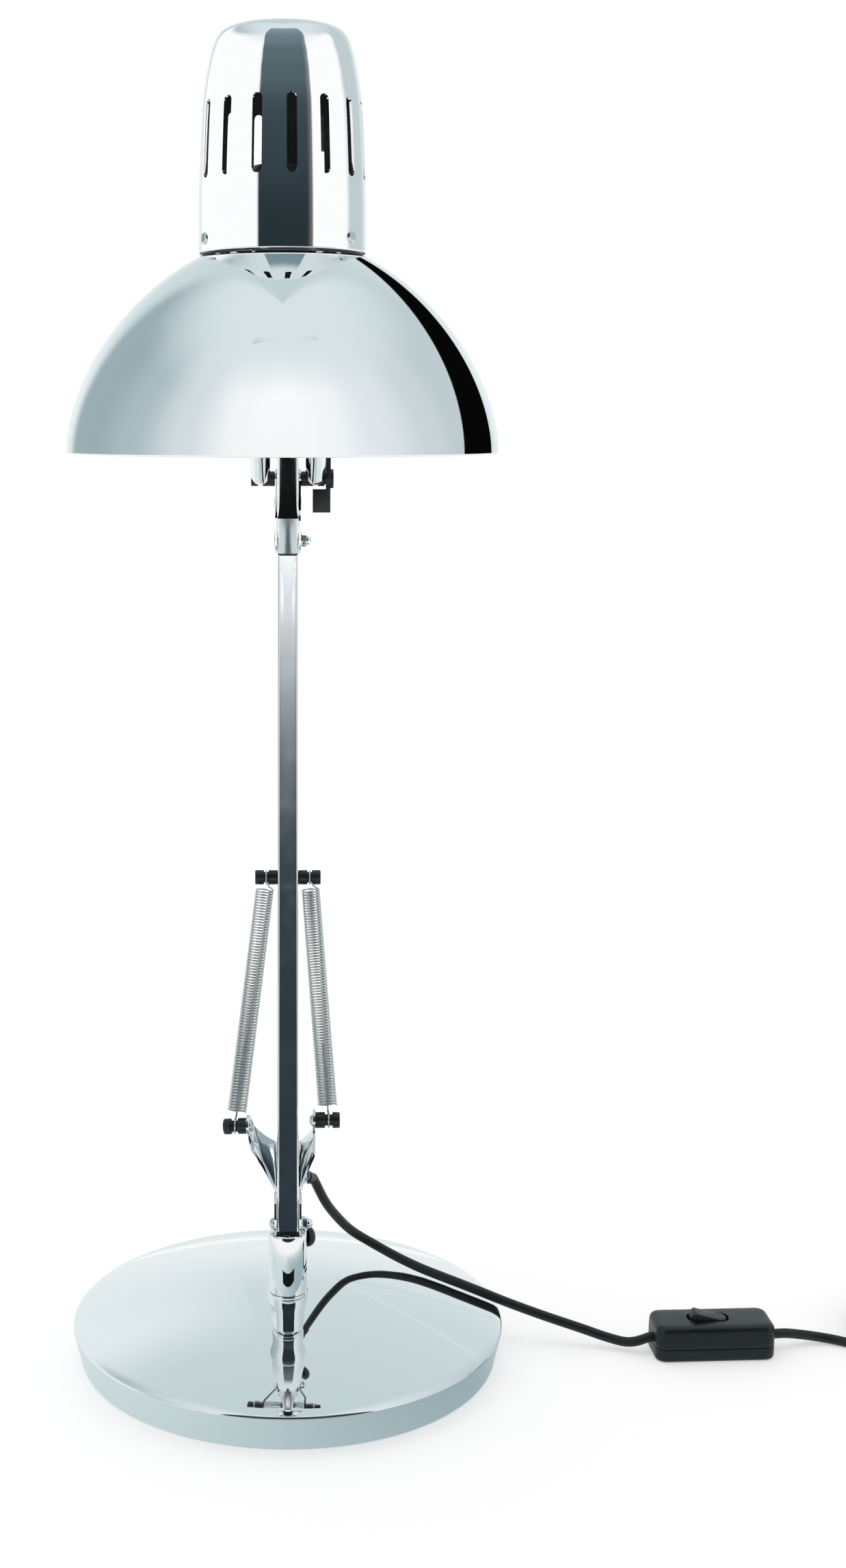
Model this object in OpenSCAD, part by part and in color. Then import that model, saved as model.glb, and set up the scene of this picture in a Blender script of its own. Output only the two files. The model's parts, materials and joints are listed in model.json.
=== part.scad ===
// Desk lamp: a domed round base, a swivel stem, two parallelogram arms of square tube
// balanced by springs, and a metal head with a round shade.
// Millimetres. The origin is on the table under the centre of the base, +Z is up,
// the arms swing in the YZ plane and the head hangs toward -Y.

/* [Base] */
// Radius of the base at its rim
base_r = 100; // [90:1:120]
// Radius of the base where its wall meets the table
base_foot_r = 96.5; // [88:0.5:99]
// Height of the rim above the table
rim_z = 17; // [14:0.5:24]
// Height that the dome rises above the rim
dome_rise = 16; // [10:0.5:20]
// Sheet thickness of the dome
shell_t = 1.2; // [0.8:0.1:2]
// Radius of the cast weight under the dome
weight_r = 84; // [70:1:86]
// Thickness of the cast weight
weight_h = 12; // [8:0.5:14]
// Thickness of the steel closing plate
plate_t = 1.5; // [1:0.1:3]
// Thickness of the soft pad under the base
pad_t = 1; // [0.8:0.1:2]

/* [Stem] */
// Distance of the stem in front of the base centre
stem_front = 43; // [20:1:50]
// Height of the joint between the fixed cup and the turning barrel
cup_top_z = 48.4; // [44:0.2:54]
// Radius of the cup at its mouth
cup_r = 8.95; // [8.8:0.05:12]
// Radius of the cup below its mouth
cup_waist_r = 7.1; // [6.6:0.1:8.5]
// Radius of the cup's foot on the dome
cup_foot_r = 4.9; // [4.6:0.1:6.5]
// Radius of the turning barrel
barrel_r = 8.5; // [8.3:0.05:10]
// Distance of the barrel's top edge below the front pivot
barrel_drop = 3.5; // [1.5:0.1:6]
// Radius of the swivel stud
stud_r = 4; // [3:0.1:4.3]
// Radius of the black clamp knob
knob_r = 4.8; // [3.5:0.1:6]

/* [Pivots] */
// Height of the lower front pivot
pivot_z = 79.7; // [76:0.1:90]
// Distance of each rear pivot behind its front pivot
link_back = 20; // [18:0.5:26]
// Height of each rear pivot above its front pivot
link_up = 14; // [10:0.5:16]
// Radius of the pivot bolts
bolt_r = 2; // [1.5:0.1:2.2]
// Distance across the flats of the cap nuts
nut_flats = 5.5; // [5.5:0.1:7]
// Running clearance, radial, round bolts and studs
run_gap = 0.05; // [0.02:0.01:0.09]
// Side gap between a tube and the plates beside it
side_gap = 0.2; // [0.1:0.05:0.5]

/* [Arms] */
// Width of the square tubes
tube_w = 9.6; // [9:0.1:10.5]
// Outer corner radius of the square tubes
tube_corner_r = 1.2; // [0.5:0.1:2]
// Wall thickness of the square tubes
tube_wall = 1; // [0.8:0.1:1.5]
// Length of a tube past its last pivot, with the end plug
tube_over = 5.3; // [5:0.1:5.8]
// Thickness of the visible cap of an end plug
plug_cap = 1.6; // [1:0.1:1.8]
// Distance between the lower arm's pivots
lower_len = 322; // [290:1:350]
// Lean of the lower arm behind the vertical, in degrees
lower_lean = 23.5; // [16:0.5:26]
// Distance between the upper arm's pivots
upper_len = 195; // [190:1:220]
// Rise of the upper arm above the horizontal, in degrees
upper_rise = 51.2; // [47:0.2:54]
// Thickness of the bracket plates
bracket_t = 1; // [0.8:0.1:1.5]

/* [Elbow] */
// Distance of the upper arm's front pivot in front of the lower arm's front pivot
elbow_front = 23.4; // [20:0.2:26]
// Distance of the upper rear pivot behind the upper front pivot
upper_link_back = 14; // [12:0.5:18]
// Height of the upper rear pivot above the upper front pivot
upper_link_up = 17; // [15:0.5:20]
// Height of the elbow spring pins above the upper front pivot
elbow_pin_up = 29; // [27:0.5:32]
// Distance of the elbow spring pins in front of the upper front pivot
elbow_pin_front = 8; // [6:0.5:10]

/* [Springs] */
// Height of the wing pins above the front pivot
wing_pin_up = 43.2; // [41:0.2:45]
// Extra height of the right wing's pin
wing_rise_right = 2.6; // [0:0.2:3.4]
// Distance from the arm's middle to the left wing's lobe
wing_out_left = 17; // [14:0.5:20]
// Distance from the arm's middle to the right wing's lobe
wing_out_right = 11.5; // [11:0.5:16]
// Radius of the wing pins
wing_pin_r = 3.5; // [3:0.1:3.6]
// Radius of the arm and elbow spring pins
arm_pin_r = 3.4; // [3:0.1:3.8]
// Distance of the lower arm's spring pins above its lower pivot
lower_pin_at = 155.7; // [140:0.1:170]
// Distance of the upper arm's spring pins above its lower pivot
upper_pin_at = 135; // [125:0.5:145]
// Outer radius of the coil springs
spring_r = 4.4; // [4:0.1:4.6]
// Radius of the spring wire
wire_r = 0.45; // [0.4:0.01:0.5]
// Curls of each coil spring
spring_curls = 24; // [16:1:26]
// Outer radius of the upper spring sleeves
sleeve_r = 4.65; // [4.3:0.05:4.9]
// Length of the upper spring sleeves
sleeve_len = 76.5; // [66:0.5:80]

/* [Head] */
// Radius of the shade's rim
shade_r = 80.5; // [74:0.5:88]
// Height of the rim above the table
shade_z = 418.1; // [416:0.5:424]
// Height that the shade's outline would reach at the middle
shade_crown = 79.3; // [74:0.5:84]
// Sheet thickness of the shade and the housing
head_wall = 1; // [0.8:0.1:1.4]
// Distance of the head's middle in front of the base centre
head_front = 120.6; // [120:0.2:130]
// Sideways offset of the head from the arms
head_side = -2; // [-2.2:0.1:0]
// Radius of the lamp housing at its lower edge
housing_r = 30.8; // [30:0.1:34]
// Height of the lamp housing
housing_h = 80; // [76:0.5:88]
// Number of cooling slots
slot_count = 15; // [8:1:18]
// Width of a cooling slot
slot_w = 3.7; // [2.5:0.1:4.5]
// Length of a cooling slot
slot_len = 27.3; // [20:0.1:32]
// Radius of the bulb
bulb_r = 22.5; // [20:0.5:24]

/* [Cord] */
// Diameter of the mains cord
cord_d = 4.5; // [4.5:0.1:5]
// Mean diameter of the stored coil of cord
coil_mean_d = 50; // [48:1:54]
// Loops of the stored coil of cord
coil_loops = 9.25; // [7.25:1:10.25]
// Length of the cord switch
switch_len = 56; // [52:1:64]
// Width of the cord switch
switch_w = 23; // [21:0.5:28]
// Height of the cord switch
switch_h = 17; // [16:0.5:20]

/* [Hidden] */

fine = 64;      // facets of a large round
medium = 32;    // facets of a small round
eps = 0.01;     // overlap between shapes that are fused

chrome = [0.82, 0.84, 0.86];
steel = [0.66, 0.68, 0.7];
iron = [0.3, 0.3, 0.32];
black = [0.09, 0.1, 0.11];

// ---- places in the YZ plane, as [y, z] ----
function dir(lean) = [sin(lean), cos(lean)];
stem_y = -stem_front;
front_pivot = [stem_y, pivot_z];
link = [link_back, link_up];
rear_pivot = front_pivot + link;
elbow_low = front_pivot + lower_len * dir(lower_lean);
elbow_low_rear = elbow_low + link;
elbow_up = elbow_low + [-elbow_front, -1];
upper_link = [upper_link_back, upper_link_up];
elbow_up_rear = elbow_up + upper_link;
upper_lean = upper_rise - 90;
head_pivot = elbow_up + upper_len * dir(upper_lean);
head_pivot_rear = head_pivot + upper_link;
head_y = -head_front;
neck_r = housing_r - 0.3;
neck_z = shade_crown * pow(1 - pow(neck_r / shade_r, 1.75), 1 / 1.75);
housing_z = shade_z + neck_z;
lug_out = 11.5;                       // tilt axis behind the housing's wall
tilt_pivot = [head_y + housing_r + lug_out, head_pivot[1] + 13];
wing_pin = front_pivot + [6, wing_pin_up];
lower_pin = front_pivot + lower_pin_at * dir(lower_lean);
upper_pin = elbow_up + upper_pin_at * dir(upper_lean);
elbow_pin = elbow_up + [-elbow_pin_front, elbow_pin_up];

// ---- shared sizes ----
plate_x = tube_w / 2 + side_gap;      // inner face of a bracket plate
plate_out = plate_x + bracket_t;      // outer face of a bracket plate
hole_r = bolt_r + run_gap;
lobe_r = 6;                           // round end of a bracket plate
dome_r = (base_r * base_r + dome_rise * dome_rise) / (2 * dome_rise);
dome_c = rim_z + dome_rise - dome_r;  // height of the dome's centre
function dome_z(y) = dome_c + sqrt(dome_r * dome_r - y * y);
shell_foot_z = 0.4;                   // lower edge of the shell above the table
weight_z = pad_t + plate_t;
barrel_top_z = pivot_z - barrel_drop;
slot_floor_z = barrel_top_z - 14.6;
spacer_z = slot_floor_z + 5;
lower_groove_x = 10;                  // spring groove on the lower arm's pins
upper_groove_x = 12.7;                // spring groove on the elbow and upper pins
wing_groove = 6.5;                    // spring groove from the middle of a wing's lobe
cord_anchor = rear_pivot + [11, -4.2];
groove_r = 2.5;
groove_w = 2;
loop_r = groove_r + 2 * run_gap + wire_r; // middle of the wire in a spring's end loop

// ---- helpers ----
module yz(x0, t) { translate([x0, 0, 0]) rotate([90, 0, 90]) linear_extrude(t) children(); }
module x_rod(x0, x1, r, p, fn = medium)
{
  translate([x0, p[0], p[1]]) rotate([0, 90, 0]) cylinder(r = r, h = x1 - x0, $fn = fn);
}
module x_turned(p) { translate([0, p[0], p[1]]) rotate([0, 90, 0]) rotate_extrude($fn = medium) children(); }
// flat bar with round ends between two points, drawn with true arcs
module bar(p, rp, q, rq)
{
  d = q - p;
  len = norm(d);
  turn = atan2(d[1], d[0]);
  open = acos((rp - rq) / len);
  translate(p) circle(rp, $fn = medium);
  translate(q) circle(rq, $fn = medium);
  polygon([
    p + rp * [cos(turn + open), sin(turn + open)], q + rq * [cos(turn + open), sin(turn + open)],
    q + rq * [cos(turn - open), sin(turn - open)], p + rp * [cos(turn - open), sin(turn - open)]
  ]);
}
module along(p, lean) { translate([0, p[0], p[1]]) rotate([-lean, 0, 0]) children(); }
module round_square(w, r)
{
  square([w - 2 * r, w], center = true);
  square([w, w - 2 * r], center = true);
  for (x = [-1, 1], y = [-1, 1]) translate([x, y] * (w / 2 - r)) circle(r, $fn = medium);
}

// square tube from its first pivot, with cross holes at the distances given
module tube(p, lean, len, holes, pin_holes = [])
{
  reach = tube_over - plug_cap;
  difference() {
    along(p, lean) translate([0, 0, -reach]) linear_extrude(len + 2 * reach) difference() {
      round_square(tube_w, tube_corner_r);
      round_square(tube_w - 2 * tube_wall, 0.4);
    }
    for (h = holes) x_rod(-tube_w, tube_w, hole_r, p + h * dir(lean));
    for (h = pin_holes) x_rod(-tube_w, tube_w, pin_rod_r, p + h * dir(lean));
  }
}
pin_rod_r = 1.5;
plug_spigot = 1.2;
plug_fit = 0.05;
// black plug in the end of a tube; the outward end is +Z before it is placed
module plug()
{
  linear_extrude(plug_cap) round_square(tube_w, tube_corner_r);
  translate([0, 0, -plug_spigot]) linear_extrude(plug_spigot + eps)
    round_square(tube_w - 2 * tube_wall - 2 * plug_fit, 0.4);
}
module end_plugs(p, lean, len, ends)
{
  reach = tube_over - plug_cap;
  for (e = ends)
    along(p, lean) translate([0, 0, e ? len + reach : -reach]) rotate([e ? 0 : 180, 0, 0]) plug();
}

// bolt across the bracket plates: a round head on the left and a bare end on the right
head_h = 2.3;
module bolt(p, r_head = 2.6)
{
  x_rod(-plate_out - eps, plate_out + nut_h, bolt_r, p);
  intersection() {
    translate([-plate_out, p[0], p[1]]) scale([head_h / r_head, 1, 1]) sphere(r_head, $fn = medium);
    x_rod(-plate_out - head_h, -plate_out, r_head + 1, p);
  }
}
nut_h = 2.6;
cap_r = 2.4;
// nut bored for the bolt: a hexagon on a washer, with a dome unless it is a plain one
module cap_nut(p, domed = true)
{
  difference() {
    union() {
      translate([plate_out, p[0], p[1]]) rotate([0, 90, 0])
        cylinder(r = nut_flats / 2 / cos(30), h = nut_h + eps, $fn = 6);
      if (domed) translate([plate_out + nut_h, p[0], p[1]]) sphere(cap_r, $fn = medium);
      x_rod(plate_out, plate_out + 0.6, nut_flats / 2 + 0.6, p);
    }
    x_rod(plate_out - 1, plate_out + nut_h + 0.1, bolt_r + 0.04, p);
  }
}
rivet_head_h = 0.6;
module rivet(p)
{
  x_rod(-plate_out - eps, plate_out + eps, bolt_r, p);
  for (s = [-1, 1])
    x_rod(s < 0 ? -plate_out - rivet_head_h : plate_out, s < 0 ? -plate_out : plate_out + rivet_head_h, 3.4, p);
}

// ---- sweeps ----
function unit(v) = v / norm(v);
function tangent(path, i) =
  let (n = len(path)) unit(path[min(i + 1, n - 1)] - path[max(i - 1, 0)]);
// side directions carried along the path without twist
function frames(path, ref) = [
  for (i = 0, u = unit(cross(cross(tangent(path, 0), ref), tangent(path, 0)));
       i < len(path);
       i = i + 1,
       u = i < len(path) ? unit(u - (u * tangent(path, i)) * tangent(path, i)) : u) u
];
module sweep(path, r, sides, ref = [0, 0, 1])
{
  n = len(path);
  us = frames(path, ref);
  points = [for (i = [0:n - 1], k = [0:sides - 1])
    let (a = 360 * (k + 0.5) / sides, t = tangent(path, i), v = cross(t, us[i]))
    path[i] + r * (cos(a) * us[i] + sin(a) * v)];
  walls = [for (i = [0:n - 2], k = [0:sides - 1], h = [0, 1])
    let (a = i * sides + k, b = i * sides + (k + 1) % sides)
    h == 0 ? [a, b + sides, b] : [a, a + sides, b + sides]];
  caps = [for (k = [1:sides - 2], h = [0, 1])
    let (z = (n - 1) * sides) h == 0 ? [0, k, k + 1] : [z, z + k + 1, z + k]];
  polyhedron(points, concat(walls, caps), convexity = 10);
}
// least gap between stretches of one tube that are more than half a turn apart
function self_gap(path, r, skip) = min([for (i = [0:len(path) - 1], j = [i + skip:1:len(path) - 1])
  norm(path[i] - path[j])]) - 2 * r;

// ---- base ----
rim_fillet = 1.6;
module dome_disc(inset, floor_z)
{
  // solid under the dome, inset by a sheet thickness
  rotate_extrude($fn = fine) intersection() {
    translate([0, dome_c]) circle(dome_r - inset, $fn = 720);
    polygon([[0, floor_z], [base_foot_r - inset, floor_z], [base_r - inset, rim_z],
             [base_r - inset, rim_z + dome_rise], [0, rim_z + dome_rise]]);
  }
}
module base_shell()
{
  color(chrome) difference() {
    dome_disc(0, shell_foot_z);
    translate([0, 0, -eps]) dome_disc(shell_t, shell_foot_z - 1);
    translate([0, stem_y, 0]) cylinder(r = stud_r + run_gap, h = rim_z + dome_rise + 1, $fn = medium);
  }
}
weight_gap = 0.3;
module base_weight()
{
  color(iron) difference() {
    translate([0, 0, weight_z]) cylinder(r = weight_r, h = weight_h, $fn = fine);
    translate([0, stem_y, weight_z - 1]) cylinder(r = stud_r + run_gap, h = weight_h + 2, $fn = medium);
    translate([0, stem_y, weight_z - 1]) cylinder(r = nut_well_r, h = nut_well_h + 1, $fn = medium);
  }
}
nut_well_r = 9;
nut_well_h = 6;
module base_plate()
{
  color(steel) difference() {
    translate([0, 0, pad_t]) cylinder(r = base_foot_r - shell_t - 0.3, h = plate_t, $fn = fine);
    translate([0, stem_y, 0]) cylinder(r = nut_well_r, h = 10, $fn = medium);
  }
}
pad_r = 88;
module base_pad()
{
  color(black) difference() {
    cylinder(r = pad_r, h = pad_t, $fn = fine);
    translate([0, stem_y, -1]) cylinder(r = nut_well_r, h = 10, $fn = medium);
  }
}

// ---- stem ----
module stem_cup()
{
  h = cup_top_z;
  foot = dome_z(stem_y) - 3;
  color(chrome) difference() {
    translate([0, stem_y, 0]) rotate_extrude($fn = fine) polygon(concat(
      [[stud_r + run_gap, h - cup_mouth_h], [stud_r + run_gap, foot], [cup_foot_r, foot],
       [cup_foot_r, dome_z(stem_y) + 0.6]],
      [for (a = [-90:15:0]) [cup_waist_r - 2.2 + 2.2 * cos(a), dome_z(stem_y) + 2.8 + 2.2 * sin(a)]],
      [[cup_waist_r + 0.3, h - 10], [cup_r - 0.7, h - 6.5], [cup_r - 0.1, h - 3],
       [cup_r, h - 0.4], [cup_r - 0.3, h], [barrel_r - 1, h], [barrel_r - 1, h - cup_mouth_h]]));
    translate([0, 0, dome_c]) sphere(dome_r, $fn = 720);
  }
}
cup_mouth_h = 2;
module swivel_stud()
{
  color(steel) translate([0, stem_y, stud_low_z]) cylinder(r = stud_r, h = stud_top_z - stud_low_z,
      $fn = medium);
}
stud_low_z = weight_z + 0.4;
stud_top_z = cup_top_z + 9;
module stud_nut()
{
  color(steel) translate([0, stem_y, weight_z + nut_well_h - 5]) difference() {
    cylinder(r = 7.2, h = 5, $fn = 6);
    translate([0, 0, -1]) cylinder(r = stud_r + run_gap, h = 7, $fn = medium);
  }
}
spigot_gap = 0.1;
module stem_barrel()
{
  pocket_r = norm([tube_w / 2, tube_over]) + 0.25;
  color(chrome) difference() {
    union() {
      translate([0, stem_y, cup_top_z + spigot_gap]) rotate_extrude($fn = fine) polygon([
        [0, 0], [barrel_r - 0.3, 0], [barrel_r, 0.3], [barrel_r, barrel_top_z - cup_top_z - 0.9],
        [barrel_r - 0.25, barrel_top_z - cup_top_z - 0.35], [barrel_r - 0.8, barrel_top_z - cup_top_z],
            [0, barrel_top_z - cup_top_z]]);
      translate([0, stem_y, cup_top_z - cup_mouth_h + spigot_gap]) cylinder(r = barrel_r - 1.1,
          h = cup_mouth_h, $fn = fine);
    }
    translate([0, stem_y, 0]) cylinder(r = stud_r + run_gap, h = stud_top_z + 0.5, $fn = medium);
    translate([-plate_out - 0.05, stem_y - slot_half, slot_floor_z]) cube([2 * plate_out + 0.1,
        2 * slot_half, 40]);
    translate([-plate_out - 0.05, stem_y, pivot_z - 6.5]) cube([2 * plate_out + 0.1, 20, 40]);
    x_rod(-plate_x, plate_x, pocket_r, front_pivot, fine);
    x_rod(-barrel_r - 1, barrel_r + 1, rivet_r + run_gap, [stem_y, spacer_z]);
    clamp_axis() translate([0, 0, 4]) cylinder(r = knob_screw_r + run_gap, h = 12, $fn = medium);
  }
}
slot_half = 6;
rivet_r = 1.5;
// cross rivets: one through the barrel, with a sleeve that keeps the two plates apart,
// and one through the cord anchor
module bracket_rivets()
{
  color(steel) {
    x_rod(-barrel_r + 0.4, barrel_r - 0.4, rivet_r, [stem_y, spacer_z]);
    x_rod(-plate_x, plate_x, 3.2, [stem_y, spacer_z]);
    for (s = [0, 1]) mirror([s, 0, 0]) {
      x_rod(-eps, plate_out + eps, rivet_r, cord_anchor);
      x_rod(plate_out, plate_out + rivet_head_h, 2.6, cord_anchor);
    }
  }
}
knob_screw_r = 1.5;
knob_drop = 7.7;  // knob's axis below the front pivot
knob_turn = 28;   // the knob's axis turned behind the sideways direction, in degrees
module clamp_axis() { translate([0, stem_y, pivot_z - knob_drop]) rotate([0, 0, knob_turn]) rotate([0,
    90, 0]) children(); }
module clamp_knob()
{
  // the dome is a slice of a ball so that its edge is full
  color(black) clamp_axis() {
    translate([0, 0, plate_out + 2.2]) cylinder(r = knob_screw_r, h = 1.2, $fn = medium);
    translate([0, 0, barrel_r + 0.3]) cylinder(r = knob_r, h = 1, $fn = medium);
    translate([0, 0, barrel_r + 1.2]) rotate_extrude($fn = medium)
      polygon(concat([[0, 0]], [for (a = [0:15:90]) [knob_r * cos(a), 0.7 * knob_r * sin(a)]]));
  }
}

// ---- wing plates ----
lobe_tilt_left = 12;                  // left lobe's lean, in degrees
fold_tilt = 30;                       // fold line turned from the vertical, in degrees
fold_dir = [sin(fold_tilt), cos(fold_tilt)];
fold_out = [-cos(fold_tilt), sin(fold_tilt)];
fold_mid = front_pivot + [13, 21.3];
fold_half = 11;
function wing_at(out) = wing_pin + [0, out == wing_out_right ? wing_rise_right : 0];
function wing_reach(out) = (wing_at(out) - fold_mid) * fold_out;
plate_mid = plate_x + bracket_t / 2;
// the lobe is bent back, so that its pin stands nearly square to the arms
function lobe_flat(out) = out == wing_out_left ? 5.3 : 9;
function lobe_tilt(out) = out == wing_out_left ? lobe_tilt_left : 0;
function wing_angle(out) =
  atan2(out - plate_mid - lobe_flat(out) * tan(lobe_tilt(out)), wing_reach(out) - lobe_flat(out));
fold_low = fold_mid - fold_half * fold_dir;
fold_high = fold_mid + fold_half * fold_dir;
// flat part of a bracket plate, from the slot up to the fold
module flat_outline()
{
  translate([stem_y - slot_half + 0.3, slot_floor_z + 0.2]) square([2 * slot_half - 0.6,
      pivot_z - slot_floor_z]);
  bar(front_pivot, lobe_r, rear_pivot, lobe_r);
  bar(rear_pivot, lobe_r, cord_anchor, 4.6);
  polygon([front_pivot + [-lobe_r, 0], front_pivot + [-lobe_r + 0.4, 5], front_pivot + [-3.4, 10.5], fold_low,
           fold_high, fold_high + [3.5, -5], rear_pivot + [lobe_r, 2], rear_pivot, front_pivot]);
}
// wing from just behind the fold to the lobe, its edges drawn in
module wing_outline(w, tilt)
{
  a = fold_low - 0.5 * fold_out;
  b = fold_high - 0.5 * fold_out;
  polygon(concat(
    [for (s = [0:0.125:1]) a + s * (w + [-4.3, -1.2] - a) + 2 * sin(180 * s) * [0.9, 0.3]],
    [for (s = [1:-0.125:0]) b + s * (w + [3.4, 3] - b) + 1.6 * sin(180 * s) * [-0.5, -0.8]]));
  translate(w) rotate(90 - fold_tilt) scale([1, cos(tilt)]) circle(4.8, $fn = medium);
}
module wing_plate(side, out)
{
  angle = wing_angle(out);
  h = bracket_t / 2;
  tilt = lobe_tilt(out);
  far = 60;
  bend = h * tan(angle / 2);
  fall = wing_reach(out) - lobe_flat(out);
  knee = [fall * tan(angle), -fall];
  mitre = h / cos((angle - tilt) / 2) * [cos((angle + tilt) / 2), sin((angle + tilt) / 2)];
  tip = knee + far * [sin(tilt), -cos(tilt)];
  across = h * [cos(tilt), sin(tilt)];
  color(chrome) mirror([side < 0 ? 1 : 0, 0, 0]) difference() {
    yz(plate_x, bracket_t) flat_outline();
    plate_holes(out);
  }
  color(chrome) mirror([side < 0 ? 1 : 0, 0, 0]) difference() {
    intersection() {
      yz(0, 60) wing_outline(wing_at(out), tilt);
      translate([0, fold_mid[0], fold_mid[1]]) rotate([-fold_tilt, 0, 0])
        translate([plate_mid, 0, -90]) linear_extrude(200) polygon([
          [-h, 80], [-h, -bend], knee - mitre, tip - across, tip + across, knee + mitre, [h, bend], [h, 80]]);
    }
    plate_holes(out);
  }
}
module plate_holes(out)
{
  x_rod(0, 40, bolt_r, front_pivot);
  x_rod(0, 40, bolt_r, rear_pivot);
  x_rod(0, 40, rivet_r, [stem_y, spacer_z]);
  x_rod(0, 40, rivet_r, cord_anchor);
  at_lobe(out) translate([0, 0, -5]) cylinder(r = pin_rod_r, h = 10, $fn = medium);
}
module wing_plate_left() { wing_plate(-1, wing_out_left); }
module wing_plate_right() { wing_plate(1, wing_out_right); }
// frame at the middle of a wing's lobe, +Z square to the wing and outward
module at_lobe(out)
{
  translate([out, wing_at(out)[0], wing_at(out)[1]]) rotate([-fold_tilt, 0, 0])
    rotate([0, 0, lobe_tilt(out)]) rotate([fold_tilt, 0, 0]) rotate([0, 90, 0]) children();
}
function lobe_axis(out) = let (a = lobe_tilt(out)) [cos(a), -sin(a) * fold_out[0], -sin(a) * fold_out[1]];

// spring pin that stands out from x = 0, with a groove for the spring's loop
module grooved(r, len, at, core = groove_r, w = groove_w)
{
  polygon([[0, 0], [r - 0.4, 0], [r, 0.4], [r, at - w / 2], [core, at - w / 2],
           [core, at + w / 2], [r, at + w / 2], [r, len - 0.4], [r - 0.4, len], [0, len]]);
}
wing_pin_len = 11.4;
module wing_pins()
{
  h = bracket_t / 2;
  for (s = [[1, wing_out_left], [0, wing_out_right]])
    color(black) mirror([s[0], 0, 0]) {
      // the groove's floor is square to the arms, so that the hook turns on it
      translate([s[1], wing_at(s[1])[0], wing_at(s[1])[1]] + wing_groove * lobe_axis(s[1])) rotate([0, 90, 0])
        cylinder(r = groove_r, h = 4, center = true, $fn = medium);
      at_lobe(s[1]) {
        translate([0, 0, h]) rotate_extrude($fn = medium)
          grooved(wing_pin_r, wing_pin_len - h, wing_groove - h, groove_r - 0.7, 3.3);
        translate([0, 0, -h - eps]) cylinder(r = pin_rod_r, h = bracket_t + 2 * eps, $fn = medium);
        translate([0, 0, -h]) rotate_extrude($fn = medium)
          polygon(concat([[0, 0]], [for (a = [0:15:90]) [2.7 * cos(a), -1.5 * sin(a)]]));
      }
    }
}
module turret_bolts() { color(steel) for (p = [front_pivot, rear_pivot]) bolt(p); }
module turret_cap_nuts()
{
  color(chrome) {
    cap_nut(front_pivot);
    cap_nut(rear_pivot, false);
  }
}

// ---- lower arm ----
module lower_front_tube()
{
  color(chrome) tube(front_pivot, lower_lean, lower_len, [0, lower_len], [lower_pin_at]);
}
module lower_front_plugs() { color(black) end_plugs(front_pivot, lower_lean, lower_len, [0, 1]); }
// pin through a tube, one grooved black end on each side
module through_pin(p, r, out, groove, inner)
{
  color(black) for (s = [0, 1]) mirror([s, 0, 0]) {
    translate([inner, 0, 0]) x_turned(p) grooved(r, out - inner, groove - inner);
    x_rod(-eps, inner + eps, pin_rod_r, p);
  }
}
lower_pin_out = 15.1;
module lower_arm_pins() { through_pin(lower_pin, arm_pin_r, lower_pin_out, lower_groove_x, tube_w / 2); }
module lower_rear_tube() { color(chrome) tube(rear_pivot, lower_lean, lower_len, [0, lower_len]); }
module lower_rear_plugs() { color(black) end_plugs(rear_pivot, lower_lean, lower_len, [0, 1]); }

// ---- springs ----
spring_wind_r = spring_r - wire_r;
coil_start = 5.9;     // first curl from the arm pin's middle
coil_end_gap = 6.6;   // last curl from the wing groove's middle
curl_steps = 8;
function mirrored(v, side) = [side * v[0], v[1], v[2]];
function lower_top(side) = [side * lower_groove_x, lower_pin[0], lower_pin[1]];
function wing_out(side) = side < 0 ? wing_out_left : wing_out_right;
function lower_foot(side) = let (o = wing_out(side))
  mirrored([o, wing_at(o)[0], wing_at(o)[1]] + wing_groove * lobe_axis(o), side);
// end loop round the pin axis given, leaving along the spring's direction
function loop_path(c, pin, way) =
  let (fore = unit(way - (way * pin) * pin), up = cross(pin, fore))
  concat([for (i = [0:12]) let (a = -362 + i * 272 / 12) c + loop_r * (cos(a) * fore + sin(a) * up)],
         [c + 1.5 * fore - loop_r * up]);
function coil_path(c, way, ref, d0, d1, curls) =
  let (side = unit(cross(way, ref)), fore = cross(side, way), n = curls * curl_steps)
  [for (i = [0:n]) let (a = 360 * i / curl_steps)
    c + (d0 + (d1 - d0) * i / n) * way + spring_wind_r * (cos(a) * fore + sin(a) * side)];
module lower_spring(side)
{
  a = lower_top(side);
  b = lower_foot(side);
  way = unit(b - a);
  coil = coil_path(a, way, cross([1, 0, 0], -way), coil_start, norm(b - a) - coil_end_gap, spring_curls);
  echo(str("least gap of a lower spring to itself, mm: ", self_gap(coil, wire_r, 5)));
  color(steel) sweep(concat(loop_path(a, [1, 0, 0], way), coil), wire_r, 6, [1, 0.2, 0.1]);
}
module lower_spring_left() { lower_spring(-1); }
module lower_spring_right() { lower_spring(1); }
// hook with a long straight shank inside the coil, so that the spring can lengthen
shank_len = 34;
module hook(side)
{
  c = lower_foot(side);
  way = unit(lower_top(side) - c);
  color(steel) sweep(concat(loop_path(c, [side, 0, 0], way),
    [for (d = [5.5, shank_len / 2, shank_len]) c + d * way]), wire_r, 6, [1, 0.2, 0.1]);
}
module lower_hook_left() { hook(-1); }
module lower_hook_right() { hook(1); }

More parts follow.
